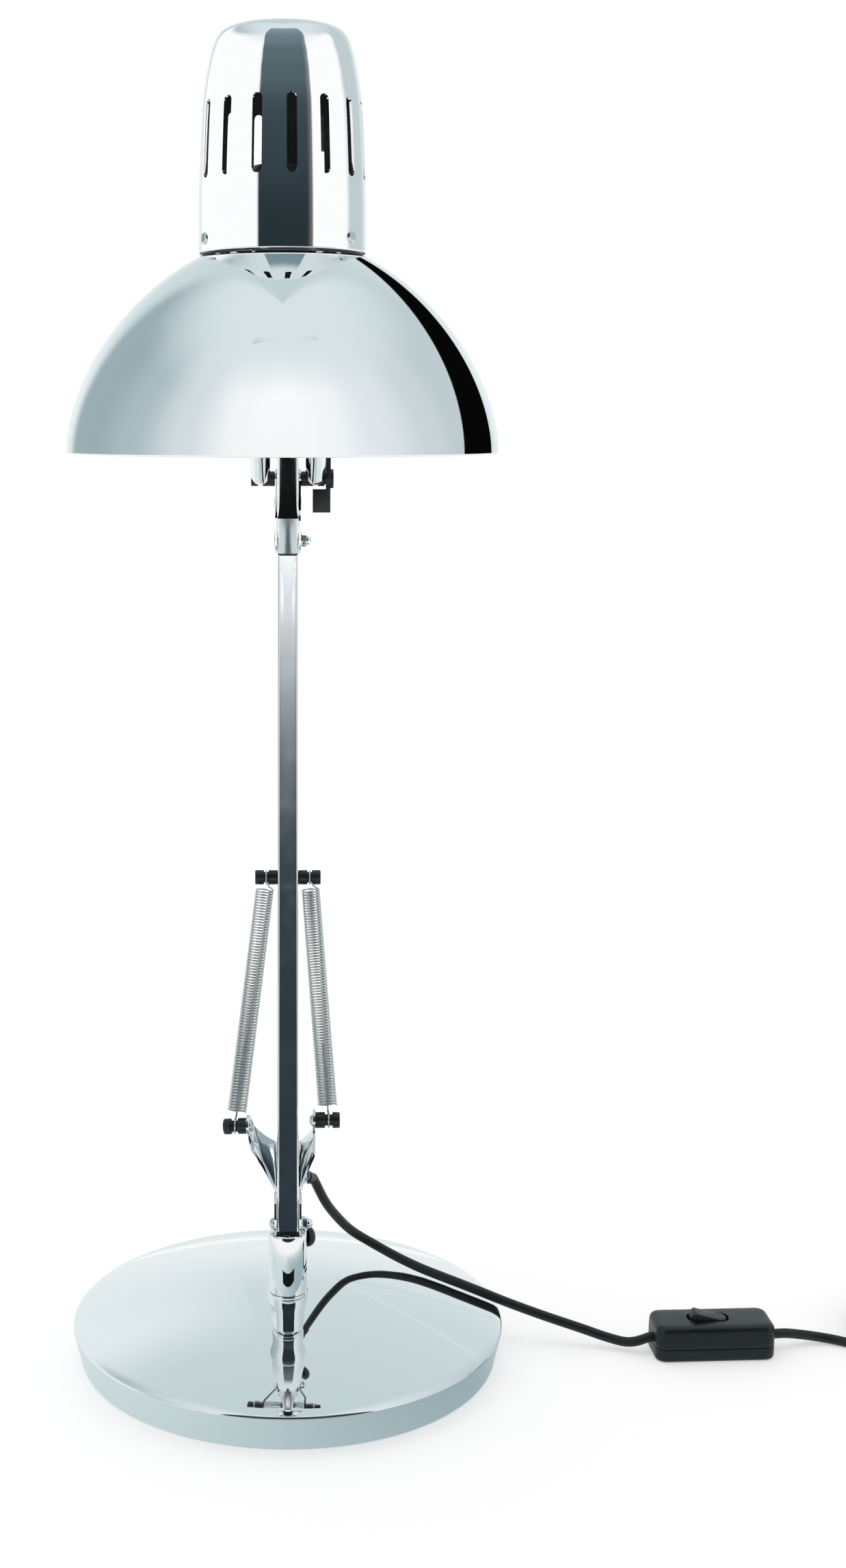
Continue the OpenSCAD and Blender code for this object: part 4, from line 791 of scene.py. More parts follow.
# ---------------------------------------------------------------- pins and fasteners
def pin_profile(r, start, end, groove, groove_r=2.5, width=2.0):
    """Grooved pin from its seat to its rounded end, as (radius, height) in millimetres."""
    rows = [(0, start), (r - 0.3, start), (r, start + 0.3), (r, groove - width / 2 - 0.2),
        (r - 0.15, groove - width / 2),
        (groove_r + 0.15, groove - width / 2), (groove_r, groove - width / 2 + 0.2),
        (groove_r, groove + width / 2 - 0.2),
        (groove_r + 0.15, groove + width / 2), (r - 0.15, groove + width / 2),
        (r, groove + width / 2 + 0.2),
        (r, end - 0.5), (r - 0.15, end - 0.15), (r - 0.5, end), (r * 0.5, end), (r * 0.42, end - 0.3),
        (0, end - 0.3)]
    return rows


def wing_at(side, out):
    """Middle of a wing's lobe."""
    return Vector((side * out * MM, WING_PIN.y, WING_PIN.z + WING_RISE[side]))


def lobe_place(side, out):
    """Place of a wing's lobe, local Z square to the lobe and outward."""
    angle = math.radians(12.0 if side < 0 else 0.0)
    fold = (-math.cos(math.radians(30)), math.sin(math.radians(30)))
    way = Vector((side * math.cos(angle), -math.sin(angle) * fold[0], -math.sin(angle) * fold[1]))
    return facing(wing_at(side, out), way), way


WINGS = ((-1, 17.0, "left"), (1, 11.5, "right"))


class LAMP_OT_pins(bpy.types.Operator):
    """Makes the grooved black spring pins and the keeper"""

    bl_idname = "lamp.pins"
    bl_label = "Spring pins"

    def execute(self, context):
        pieces = []
        buttons = []
        for side, out, _ in WINGS:
            place, way = lobe_place(side, out)
            pieces.append(turned("p", pin_profile(3.5, 0.5, 11.4, 6.5, 1.8, 3.3), place, 40))
            core = facing(wing_at(side, out) + way * 6.5 * MM, (1, 0, 0))
            pieces.append(turned("c", ((0, -2), (2.5, -2), (2.5, 2), (0, 2)), core, 32))
            button = [(0, -2.0), (1.2, -1.9), (2.0, -1.55), (2.5, -1.0), (2.7, -0.5), (0, -0.5)]
            buttons.append(turned("b", button, place, 32))
        wing = joined("wing_studs", pieces)
        dressed(wing, "black_plastic", "turret", ["wing_pins"], 30)
        dressed(joined("wing_buttons", buttons), "turned_steel", "turret", (), 30)
        for name, point, r, seat, end, groove, body, node in (
                ("lower_studs", LOWER_PIN, 3.4, 4.8, 15.1, 10.0, "lower_front", "lower_arm_pins"),
                ("upper_studs", UPPER_PIN, 3.4, 4.8, 17.0, 12.7, "upper_front", "upper_arm_pins"),
                ("elbow_studs", ELBOW_PIN, 3.4, 6.0, 17.0, 12.7, "elbow", "elbow_pins")):
            studs = joined(name, [turned("p", pin_profile(r, seat, end, groove),
                side_place(point, side, 0), 40) for side in (-1, 1)])
            dressed(studs, "black_plastic", body, [node], 30)
        keeper = eased_copy("moulded_keeper", "pin_keeper", 0.35 * MM, 3)
        dressed(keeper, "black_plastic", "elbow", ["pin_keeper"], 30)
        return {"FINISHED"}


def hex_profile(name, flats, height, place):
    """Hexagon nut with chamfered corners."""
    r = flats / 2 / math.cos(math.radians(30))
    nut = turned(name, [(0, 0), (r, 0), (r, height), (0, height)], place, 6)
    bevel = nut.modifiers.new("ease", "BEVEL")
    bevel.width = 0.22 * MM
    bevel.segments = 2
    return applied(nut)


def cap_nut(point, domed=True):
    place = side_place(point, 1, 6.0 * MM)
    washer = turned("w", [(0, 0), (3.2, 0), (3.3, 0.15), (3.3, 0.5), (3.15, 0.62), (0, 0.62)], place, 40)
    nut = hex_profile("n", 5.5, 2.6, place)
    if not domed:
        end = [(0, 2.4), (1.9, 2.4), (1.9, 2.62), (1.6, 2.7), (0, 2.7)]
        return [washer, nut, turned("e", end, place, 28)]
    dome = [(0, 1.0), (2.4, 1.0), (2.4, 2.65)] + arc_rows(2.4, 2.4, 2.7, range(6, 90, 7)) + [(0, 5.1)]
    return [washer, nut, turned("d", dome, place, 32)]


def round_head(point, side, r, h):
    rows = [(0, -0.05), (r, -0.05), (r, 0.12)] + arc_rows(r, h - 0.12, 0.12, range(8, 90, 8)) + [(0, h)]
    return turned("h", rows, side_place(point, side, 6.0 * MM), 36)


class LAMP_OT_fasteners(bpy.types.Operator):
    """Makes the pivots' bolts, rivets and cap nuts"""

    bl_idname = "lamp.fasteners"
    bl_label = "Fasteners"

    def execute(self, context):
        groups = (
            ("turret", "turret", (FRONT_PIVOT, REAR_PIVOT), (FRONT_PIVOT, REAR_PIVOT), (), "turret_bolts",
            "turret_cap_nuts"),
            ("elbow", "elbow", (), (ELBOW_UP,), (ELBOW_LOW, ELBOW_LOW_REAR, ELBOW_UP_REAR), "elbow_rivets",
            "elbow_cap_nut"),
            ("head", "head_bracket", (HEAD_PIVOT, HEAD_PIVOT_REAR), (HEAD_PIVOT, HEAD_PIVOT_REAR), (),
            "head_bolts", "head_cap_nuts"))
        for name, body, heads, nuts, rivets, bolt_node, nut_node in groups:
            caps = [p for point in nuts for p in cap_nut(point, point != REAR_PIVOT)]
            dressed(joined(name + "_domes", caps), "polished_chrome", body, [nut_node],
                30)
            rounds = [round_head(point, -1, 2.6, 2.3) for point in heads]
            rounds += [round_head(point, side, 3.4, 0.6) for point in rivets for side in (-1, 1)]
            if name == "elbow":
                rounds.append(round_head(ELBOW_UP, -1, 3.4, 0.6))
            for point in tuple(heads) + tuple(nuts) + tuple(rivets):
                rounds.append(turned("s", [(0, -6.0), (2, -6.0), (2, 6.2), (0, 6.2)],
                    side_place(point, 1, 0), 24))
            nodes = [bolt_node] + (["elbow_bolt"] if name == "elbow" else [])
            dressed(joined(name + "_heads", rounds), "turned_steel", body, nodes, 30)
        return {"FINISHED"}


# ---------------------------------------------------------------- springs
def end_loop(centre, pin, way, side_run):
    """Wire once round a pin's groove, then off along the spring."""
    r = 2.5 + 0.1 + sizes().wire_radius / MM
    fore = (way - way.dot(pin) * pin).normalized()
    up = pin.cross(fore)
    path = [centre + r * MM * (math.cos(math.radians(a)) * fore + math.sin(math.radians(a)) * up)
        for a in range(-372, -89, 12)]
    return path + [centre + fore * d * MM - up * r * MM for d in side_run]


def pin_loop(centre, way, toward):
    """Wire round an upper pin's groove, from and to the side that the spring lies on."""
    across = way.cross(Vector((1, 0, 0)))
    turns = [math.radians(a) for a in range(-340, 1, 10)]
    return [centre + toward * (2.95 * MM) * (math.cos(a) * way + math.sin(a) * across) for a in turns]


class LAMP_OT_springs(bpy.types.Operator):
    """Winds the lower springs with their hooks, and makes the upper springs' sleeves and rods"""

    bl_idname = "lamp.springs"
    bl_label = "Springs"

    def execute(self, context):
        s = sizes()
        wire, wind = s.wire_radius, s.spring_radius - s.wire_radius
        for side, out, word in WINGS:
            _, pin = lobe_place(side, out)
            foot = wing_at(side, out) + pin * 6.5 * MM
            top = Vector((side * 10.0 * MM, LOWER_PIN.y, LOWER_PIN.z))
            way = (foot - top).normalized()
            length = (foot - top).length
            start, gap = 5.9 * MM, 6.6 * MM
            place = facing(top + way * start, way)
            coil = from_nodes("coil", coil_tree(), place,
                **{"Turns": float(s.spring_turns), "Radius": wind, "Length": length - start - gap,
                "Wire radius": wire, "Steps per turn": 22, "Wire sides": 8})
            loop = end_loop(top, Vector((1, 0, 0)), way, (1.4, 3.0))
            lead = place @ Vector((wind, 0, 0))
            loop += [loop[-1].lerp(lead, 0.5) + way * 0.5 * MM, lead]
            hook = sweep("hook", loop, wire, 8)
            dressed(joined("coil_spring_" + word, [coil, hook]), "spring_steel", "spring_" + word,
                ["lower_spring_" + word], 50)
            back = (top - foot).normalized()
            path = end_loop(foot, Vector((side, 0, 0)), back,
                (1.2,)) + [foot + back * d * MM for d in (5.2, 7.5, 20.0, 34.0)]
            shank = sweep("spring_hook_" + word, catmull(path, 2), wire, 8)
            dressed(shank, "spring_steel", "hook_" + word, ["lower_hook_" + word], 50)
        way = (UPPER_PIN - ELBOW_PIN).normalized()
        for side, word in ((-1, "left"), (1, "right")):
            foot = ELBOW_PIN + Vector((side * 12.7 * MM, 0, 0))
            head = UPPER_PIN + Vector((side * 12.7 * MM, 0, 0))
            rows = [(0, -2.1)] + arc_rows(4.65, 4.65, 2.55, range(-84, 1, 6))
            rows += [(4.65, 20.0), (4.65, 50.0), (4.65, 74.1), (4.4, 74.4), (3.1, 74.4), (3.1, 72.4),
                (3.85, 72.4), (3.85, 6.55), (0, 6.55)]
            sleeve = turned("s", rows, facing(foot, way), 96)
            bore = turned("b", [(0, -8), (3.55, -8), (3.55, 8), (0, 8)], facing(foot, (1, 0, 0)), 64)
            cut = sleeve.modifiers.new("bore", "BOOLEAN")
            cut.operation, cut.solver, cut.object = "DIFFERENCE", "EXACT", bore
            applied(sleeve)
            bpy.data.objects.remove(bore)
            ring = pin_loop(foot, way, 1)
            hook = sweep("h", ring + [foot + way * 4.2 * MM], 0.45 * MM, 8)
            dressed(joined("spring_tube_" + word, [sleeve, hook]), "polished_chrome", "sleeve_" + word,
                ["spring_sleeve_" + word], 40)
            ring = pin_loop(head, way, -1)
            rod = turned("r", [(0, 0), (0.75, 0), (0.9, 0.2), (0.9, 59.8), (0.7, 60), (0, 60)],
                facing(head - way * 6 * MM, -way), 20)
            hook = sweep("h", ring + [head - way * 6.4 * MM], 0.45 * MM, 8)
            dressed(joined("spring_rod_" + word, [rod, hook]), "turned_steel", "rod_" + word,
                ["upper_hook_" + word], 40)
        return {"FINISHED"}


# ---------------------------------------------------------------- elbow and head bracket
class LAMP_OT_brackets(bpy.types.Operator):
    """Makes the elbow's and the head's plates with eased edges"""

    bl_idname = "lamp.brackets"
    bl_label = "Bracket plates"

    def execute(self, context):
        for name, node, body in (("elbow_left", "elbow_plate_left", "elbow"),
                ("elbow_right", "elbow_plate_right", "elbow"),
                ("head_bracket_plates", "head_plates", "head_bracket"),
                ("head_lug", "tilt_lug", "head")):
            dressed(eased_copy(name, node), "polished_chrome", body, [node], 30)
        knob = [(0, 8.0), (4.0, 8.0), (4.0, 8.6), (6.6, 9.0), (7.0, 9.5), (7.0, 16.2), (6.6, 16.9),
            (5.6, 17.0), (4.8, 16.7), (0, 16.5)]
        body = turned("k", knob, side_place(TILT_PIVOT, 1, 0), 64)
        ribs = from_nodes("ribs", ring_tree(), facing(TILT_PIVOT + Vector((12.8 * MM, 0, 0)), (1, 0, 0)),
            **{"Count": 28, "Ring radius": 6.95 * MM, "Rib radius": 0.5 * MM,
            "Rib length": 6.4 * MM, "Sides": 10})
        head = turned("h", [(0, 6.0), (4.0, 6.0), (4.0, 8.2), (0, 8.2)], side_place(TILT_PIVOT, 1, 0), 40)
        back = turned("b", [(0, 5.9), (3.4, 5.9), (3.4, 6.9), (3.0, 7.2), (0, 7.2)],
            side_place(TILT_PIVOT, -1, 0), 36)
        screw = turned("s", [(0, -6.0), (1.95, -6.0), (1.95, 6.1), (0, 6.1)], side_place(TILT_PIVOT, 1, 0),
            24)
        dressed(joined("tilt_hand_knob", [body, ribs, head, back, screw]), "black_plastic", "tilt_knob",
            ["tilt_knob"], 30)
        return {"FINISHED"}


# ---------------------------------------------------------------- head
SHADE_R, SHADE_Z, SHADE_CROWN = 80.5, 418.1, 79.3
HOUSING_R, HOUSING_H = 30.8, 80.0
NECK_R = 30.5
NECK_Z = SHADE_CROWN * (1 - (NECK_R / SHADE_R) ** 1.75) ** (1 / 1.75)
HOUSING_Z = SHADE_Z + NECK_Z + 1.2
HOUSING_SIDE = ((0, 0), (0.2, 0.24), (0.8, 0.44), (1.7, 0.64), (3, 0.76), (4, 0.825), (5.1, 0.88),
    (6.7, 0.935), (9.3, 0.972), (13.8, 0.992), (20, 1))


def head_place(z):
    return Matrix.Translation(HEAD_AXIS + Vector((0, 0, z * MM)))


def shade_radius(z):
    return SHADE_R * max(0.0, 1 - (z / SHADE_CROWN) ** 1.75) ** (1 / 1.75)


class LAMP_OT_shade(bpy.types.Operator):
    """Spins the shade with its rolled rim and lacquered inside"""

    bl_idname = "lamp.shade"
    bl_label = "Shade"

    def execute(self, context):
        rows = []
        n = 48
        for i in range(n + 1):
            z = NECK_Z * math.sin(math.pi / 2 * i / n)
            rows.append((shade_radius(z), z))
        normals = []
        for r, z in rows:
            v = Vector(((r / SHADE_R) ** 0.75 / SHADE_R,
                (max(z, 0) / SHADE_CROWN) ** 0.75 / SHADE_CROWN)).normalized()
            normals.append(v)
        rim = [(80.5, -0.3), (80.45, -0.62), (80.2, -0.8), (79.6, -0.8), (79.3, -0.6)]
        outer = list(reversed(rim)) + rows + [(NECK_R - 0.4, NECK_Z + 0.9), (NECK_R - 1.2, NECK_Z + 1.2),
            (20.5, NECK_Z + 1.2), (20.5, NECK_Z + 0.2)]
        inner = [(r - v.x, z - v.y) for (r, z), v in zip(rows, normals)][:-1]
        shade = turned("spun_shade", outer, head_place(SHADE_Z), 256)
        dressed(shade, "polished_chrome", "head", ["shade"], 40)
        cup = [(20.6, NECK_Z + 0.15)] + [(r, z) for r, z in reversed(inner)] + [(79.35, -0.55)]
        lining = turned("shade_lining", cup, head_place(SHADE_Z), 256)
        bm = bmesh.new()
        bm.from_mesh(lining.data)
        for face in bm.faces:
            out = face.calc_center_median() - HEAD_AXIS
            if face.normal.x * out.x + face.normal.y * out.y > 0 or (abs(face.normal.z) > 0.99
                    and face.normal.z > 0):
                face.normal_flip()
        bm.to_mesh(lining.data)
        bm.free()
        dressed(lining, "reflector_lacquer", "head", (), 40)
        return {"FINISHED"}


class LAMP_OT_housing(bpy.types.Operator):
    """Makes the lamp housing with its cooling slots and screws"""

    bl_idname = "lamp.housing"
    bl_label = "Lamp housing"

    def execute(self, context):
        count = sizes().slot_count
        # smooth outline of the side: radius and height, eased through the CAD outline's points
        side = catmull([(HOUSING_R - d, s * HOUSING_H, 0) for d, s in HOUSING_SIDE], 6)
        side = [(p.x, p.y) for p in side]

        def radius(z):
            for (r0, z0), (r1, z1) in zip(side, side[1:]):
                if z <= z1:
                    return r0 + (r1 - r0) * (z - z0) / max(z1 - z0, 1e-9)
            return side[-1][0]

        low, high, half = 25.6, 52.9, 1.85
        step = 360.0 / count
        edge = math.degrees(half / 30.2)
        across = [-step / 2 + (step / 2 - edge) * k / 4 for k in range(4)]
        across += [edge * math.sin(math.radians(-90 + 180 * k / 12)) for k in range(13)]
        across += [edge + (step / 2 - edge) * k / 4 for k in range(1, 4)]
        columns = [(i * step + a + 6.6 - 90, a, i) for i in range(count) for a in across]
        top_rows = [z for z in [p[1] for p in side] if z > high + 1.5]
        verts, grid = [], []
        for angle, a, i in columns:
            x = min(abs(a), edge) / edge * half
            bow = math.sqrt(max(0.0, half * half - x * x))
            z_low, z_high = low + half - bow, high - half + bow
            zs = [0.0, 0.3, 0.5] + [0.5 + (z_low - 0.5) * k / 8 for k in range(1, 9)]
            zs += [z_low + (z_high - z_low) * k / 6 for k in range(1, 7)]
            first = top_rows[0]
            zs += [z_high + (first - z_high) * k / 4 for k in range(1, 4)] + top_rows
            column = []
            for j, z in enumerate(zs):
                r = radius(z) - (0.25 if j == 0 else 0.0)
                t = math.radians(angle)
                column.append(len(verts))
                verts.append(Vector((r * math.cos(t), r * math.sin(t), z)) * MM)
            grid.append(column)
        n, rows = len(columns), len(grid[0])
        pole = len(verts)
        verts.append(Vector((0, 0, HOUSING_H * MM)))
        faces = []
        for c in range(n):
            d = (c + 1) % n
            near = edge + 1e-6
            same_slot = columns[c][2] == columns[d][2]
            in_slot = abs(columns[c][1]) <= near and abs(columns[d][1]) <= near and same_slot
            hidden = abs(((columns[c][0] - 90 + 180) % 360) - 180) < 14
            for j in range(rows - 1):
                if in_slot and not hidden and 10 <= j < 16:
                    continue
                faces.append((grid[c][j], grid[d][j], grid[d][j + 1], grid[c][j + 1]))
            faces.append((grid[c][-1], grid[d][-1], pole))
        place = head_place(HOUSING_Z)
        shell = mesh_object("slotted_housing", [place @ v for v in verts], faces)
        outward(shell)
        if sum(f.normal.dot(f.center - (HEAD_AXIS + Vector((0, 0, 0.53))))
                for f in shell.data.polygons) < 0:
            shell.data.flip_normals()
        thick = shell.modifiers.new("wall", "SOLIDIFY")
        thick.thickness = 1.0 * MM
        thick.offset = -1.0
        applied(shell)
        dressed(shell, "polished_chrome", "head", ["lamp_housing"], 30)
        # faces inside the housing and under its top get the near-black painted shade
        shell.data.materials.append(material("painted_shade_inside"))
        for face in shell.data.polygons:
            spoke = (face.center - HEAD_AXIS) * Vector((1, 1, 0))
            if face.normal.dot(spoke.normalized()) < -0.5 or (face.normal.z < -0.5
                    and face.center.z > (HOUSING_Z + 60) * MM):
                face.material_index = len(shell.data.materials) - 1
        screws = []
        for a in (0, 120, 240):
            t = math.radians(-90 - 66.3 + a)
            way = Vector((math.cos(t), math.sin(t), 0))
            at = HEAD_AXIS + Vector((0, 0, (HOUSING_Z + 4.4) * MM)) + way * 30.7 * MM
            rows = [(0, -3.9), (1.25, -3.9), (1.25, 0.0), (2.2, 0.0), (2.2, 0.35), (1.9, 0.7), (1.2, 0.88),
                (0, 0.9)]
            screws.append(turned("s", rows, facing(at, way), 32))
        dressed(joined("grub_screws", screws), "turned_steel", "head", ["housing_screws"],
            30)
        return {"FINISHED"}


class LAMP_OT_bulb(bpy.types.Operator):
    """Makes the lampholder, the bulb and its cap"""

    bl_idname = "lamp.bulb"
    bl_label = "Lampholder and bulb"

    def execute(self, context):
        z = HOUSING_Z - 13
        ribs = [(18.0, 0.3), (18.0, 12.6), (17.8, 13.0), (21.0, 14.5), (21.0, 16.5), (18.0, 16.5)]
        for i in range(9):
            ribs += [(18.0, 18.0 + 2 * i - 0.1), (18.55, 18.1 + 2 * i), (18.6, 18.5 + 2 * i),
                (18.55, 18.9 + 2 * i), (18.0, 19.1 + 2 * i)]
        rows = [(13.4, 28.0), (13.4, 0.4), (13.8, 0.0), (17.6, 0.0)] + ribs + [(18.0, 36.2), (11.2, 43.6),
            (10.6, 44.0), (0, 44.0)]
        holder = turned("ribbed_holder", rows, head_place(z), 96)
        dressed(holder, "dark_porcelain", "head", ["lamp_holder"], 30)
        ring = [(29.6, 0), (29.65, 0.2), (29.65, 8.0), (25.8, 8.0), (25.8, 1.5), (18.2, 1.5), (18.2, 0)]
        dressed(lathe("shade_clamp", [(r * MM, h * MM) for r, h in ring], head_place(HOUSING_Z), 96),
            "turned_steel", "head", ["shade_ring"], 30)
        seat = z + 2
        cap = [(12.9, -0.05), (13.0, 0.2)]
        for i in range(24):
            cap.append((12.55 + 0.45 * math.cos(math.radians(i * 120)), 1.2 + i * 0.78))
        cap += [(12.0, 20.1), (6.0, 25.2), (4.0, 26.0), (0, 26.0)]
        dressed(lathe("screw_cap", [(0, -0.05 * MM)] + [(r * MM, h * MM) for r, h in cap],
            head_place(seat), 64, closed=False), "cap_aluminium", "head", ["bulb_cap"], 40)
        b = sizes().bulb_radius / MM
        low = 34.0
        glass = [(0, -0.1), (12.5, -0.1), (12.9, -1.2), (13.2, -4.0), (13.9, -7.6), (15.4, -12.0),
            (17.6, -17.2), (19.6, -21.6)]
        glass += arc_rows(b, b, -low, range(24, -90, -6)) + [(0, -low - b)]
        dressed(turned("bulb", glass, head_place(seat), 96),
            "bulb_white", "head", ["bulb_glass"], 40)
        return {"FINISHED"}


# ---------------------------------------------------------------- switch and plug
def super_section(w, h, power, count=48):
    """Closed cross-section with full corners, as (across, up)."""
    points = []
    for k in range(count):
        a = 2 * math.pi * (k + 0.5) / count
        c, s = math.cos(a), math.sin(a)
        points.append((math.copysign(abs(c) ** (2 / power), c) * w / 2,
            math.copysign(abs(s) ** (2 / power), s) * h / 2))
    return points


class LAMP_OT_switch(bpy.types.Operator):
    """Makes the two-part cord switch with its rocker"""

    bl_idname = "lamp.switch"
    bl_label = "Switch"

    def execute(self, context):
        place = Matrix.Translation(SWITCH_AT) @ Matrix.Rotation(SWITCH_TURN, 4, "Z")
        length, width = 56.0, 23.0
        seam = 6.4
        low = [(8.0, 0.0), (2.2, 0.0), (1.2, 0.15), (0.5, 0.55), (0.12, 1.2), (0.0, 2.0), (0.0, 4.0),
            (0.0, seam - 0.3), (0.12, seam - 0.12), (0.5, seam - 0.1), (8.0, seam - 0.1)]
        top = [(8.0, seam + 0.1), (0.5, seam + 0.1), (0.12, seam + 0.14), (0.0, seam + 0.35), (0.0, 9.0),
            (0.05, 12.0), (0.15, 14.0),
            (0.35, 15.1), (0.8, 16.0), (1.5, 16.6), (2.5, 16.9), (4.0, 17.0), (6.5, 17.05), (9.0, 17.1)]
        halves = [stacked("half", [[(x * MM, y * MM, z * MM) for x,
            y in rounded_outline(length - 2 * i, width - 2 * i, max(5.2 - i, 0.6), 8)] for i, z in rows],
            place)
            for rows in (low, top)]
        pocket = prism("pocket", rounded_outline(19.6 * MM, 9.8 * MM, 4.2 * MM, 7), 10.0 * MM, 30 * MM,
            place @ Matrix.Translation((-2 * MM, 0, 0)))
        cut = halves[1].modifiers.new("pocket", "BOOLEAN")
        cut.object = pocket
        cut.solver = "EXACT"
        applied(halves[1])
        bpy.data.objects.remove(pocket)
        core = prism("core", rounded_outline(53.6 * MM, 20.6 * MM, 3 * MM, 6), 1.5 * MM, 9.6 * MM, place)
        body = joined("switch_shell", halves + [core])
        dressed(body, "black_plastic", "base", ["switch_body"], 32)
        # side view of the rocker's top: its left end stands up, its right end lies in the pocket
        wave = catmull([(-10, 0.2, 0), (-8.7, 1.2, 0), (-7.4, 3.3, 0), (-5.8, 4.1, 0), (-3.8, 3.2, 0),
            (-1.6, 1.9, 0), (1.2, 1.25, 0), (4.4, 1.15, 0), (7.4, 1.1, 0), (10, 0.5, 0)], 4)

        def crest(x):
            for a, b in zip(wave, wave[1:]):
                if x <= b.x:
                    return a.y + (b.y - a.y) * (x - a.x) / max(b.x - a.x, 1e-9)
            return wave[-1].y

        rings = []
        for i, drop in ((0.0, None), (0.0, 0.75), (0.08, 0.4), (0.25, 0.17), (0.55, 0.04), (0.95, 0.0),
                (1.7, -0.04), (2.6, -0.06), (3.6, -0.07)):
            flat = rounded_outline(17.4 - 2 * i, 8.4 - 2 * i, max(3.8 - i, 0.25), 8)
            rings.append([(x * MM, y * MM, (-3.4 if drop is None else crest(x) - drop) * MM) for x,
                y in flat])
        rocker = stacked("rocker_key", rings, place @ Matrix.Translation((-2 * MM, 0, 16.4 * MM)))
        dressed(rocker, "black_plastic", "rocker", ["switch_rocker"], 40)
        return {"FINISHED"}


class LAMP_OT_plug(bpy.types.Operator):
    """Makes the plug, the coil's tie and the cord's anchor"""

    bl_idname = "lamp.plug"
    bl_label = "Plug and anchor"

    def execute(self, context):
        place = Matrix.Translation(PLUG_AT) @ Matrix.Rotation(PLUG_TURN, 4, "Z")
        rings = []
        for x, w, h in ((0, 5.7, 5.7), (4, 6.4, 6.2), (9, 9.0, 8.2), (11.5, 12.4, 10.6),
                (12.6, 15.6, 12.8), (14, 17.4, 14.4),
                (18, 18, 15), (26, 18, 15), (32, 17.6, 14.6), (33.4, 17.0, 14.0), (34, 15.8, 12.8)):
            section = super_section(w, h, 4.5 if x > 10 else 2.2, 40)
            rings.append([(x * MM, y * MM, z * MM + PLUG_Z) for y, z in section])
        body = stacked("plug_body", rings, place)
        dressed(body, "black_plastic", "base", ["mains_plug"], 30)
        pins = []
        for y in (-5.7, 5.7):
            rows = [(0, 0), (2.0, 0), (2.0, 16.8), (1.8, 18.2), (1.1, 18.9), (0, 19)]
            at = place @ Vector((34 * MM, y * MM, PLUG_Z))
            pins.append(turned("p", rows, facing(at, place.to_3x3() @ Vector((1, 0, 0))), 24))
        dressed(joined("plug_pins", pins), "turned_steel", "base", (), 30)
        dressed(eased_copy("wire_tie", "coil_tie", 0.2 * MM), "tie_wire", "base", ["coil_tie"],
            30)
        dressed(eased_copy("cord_anchor", "cord_grommet", 0.25 * MM), "black_plastic", "turret",
            ["cord_grommet"], 30)
        return {"FINISHED"}


class LAMP_OT_kept(bpy.types.Operator):
    """Gives the CAD pieces that stay as they are their finishes"""

    bl_idname = "lamp.kept"
    bl_label = "Hidden pieces"

    def execute(self, context):
        named = {s["node"]: s["material_slot"] for s in RECORD["subparts"]}
        for node, obj in frame["nodes"].items():
            slot = named[node]
            obj.data.materials.clear()
            obj.data.materials.append(material("turned_steel" if slot == "spring_steel" else slot))
        return {"FINISHED"}


class LAMP_OT_join_cord(bpy.types.Operator):
    """Bakes the cord's place in the scene into its mesh."""

    bl_idname = "lamp.join_cord"
    bl_label = "Cord's facts"

    def execute(self, context):
        cord, path = CORD["piece"], CORD["path"]
        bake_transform(cord)
        return {"FINISHED"}


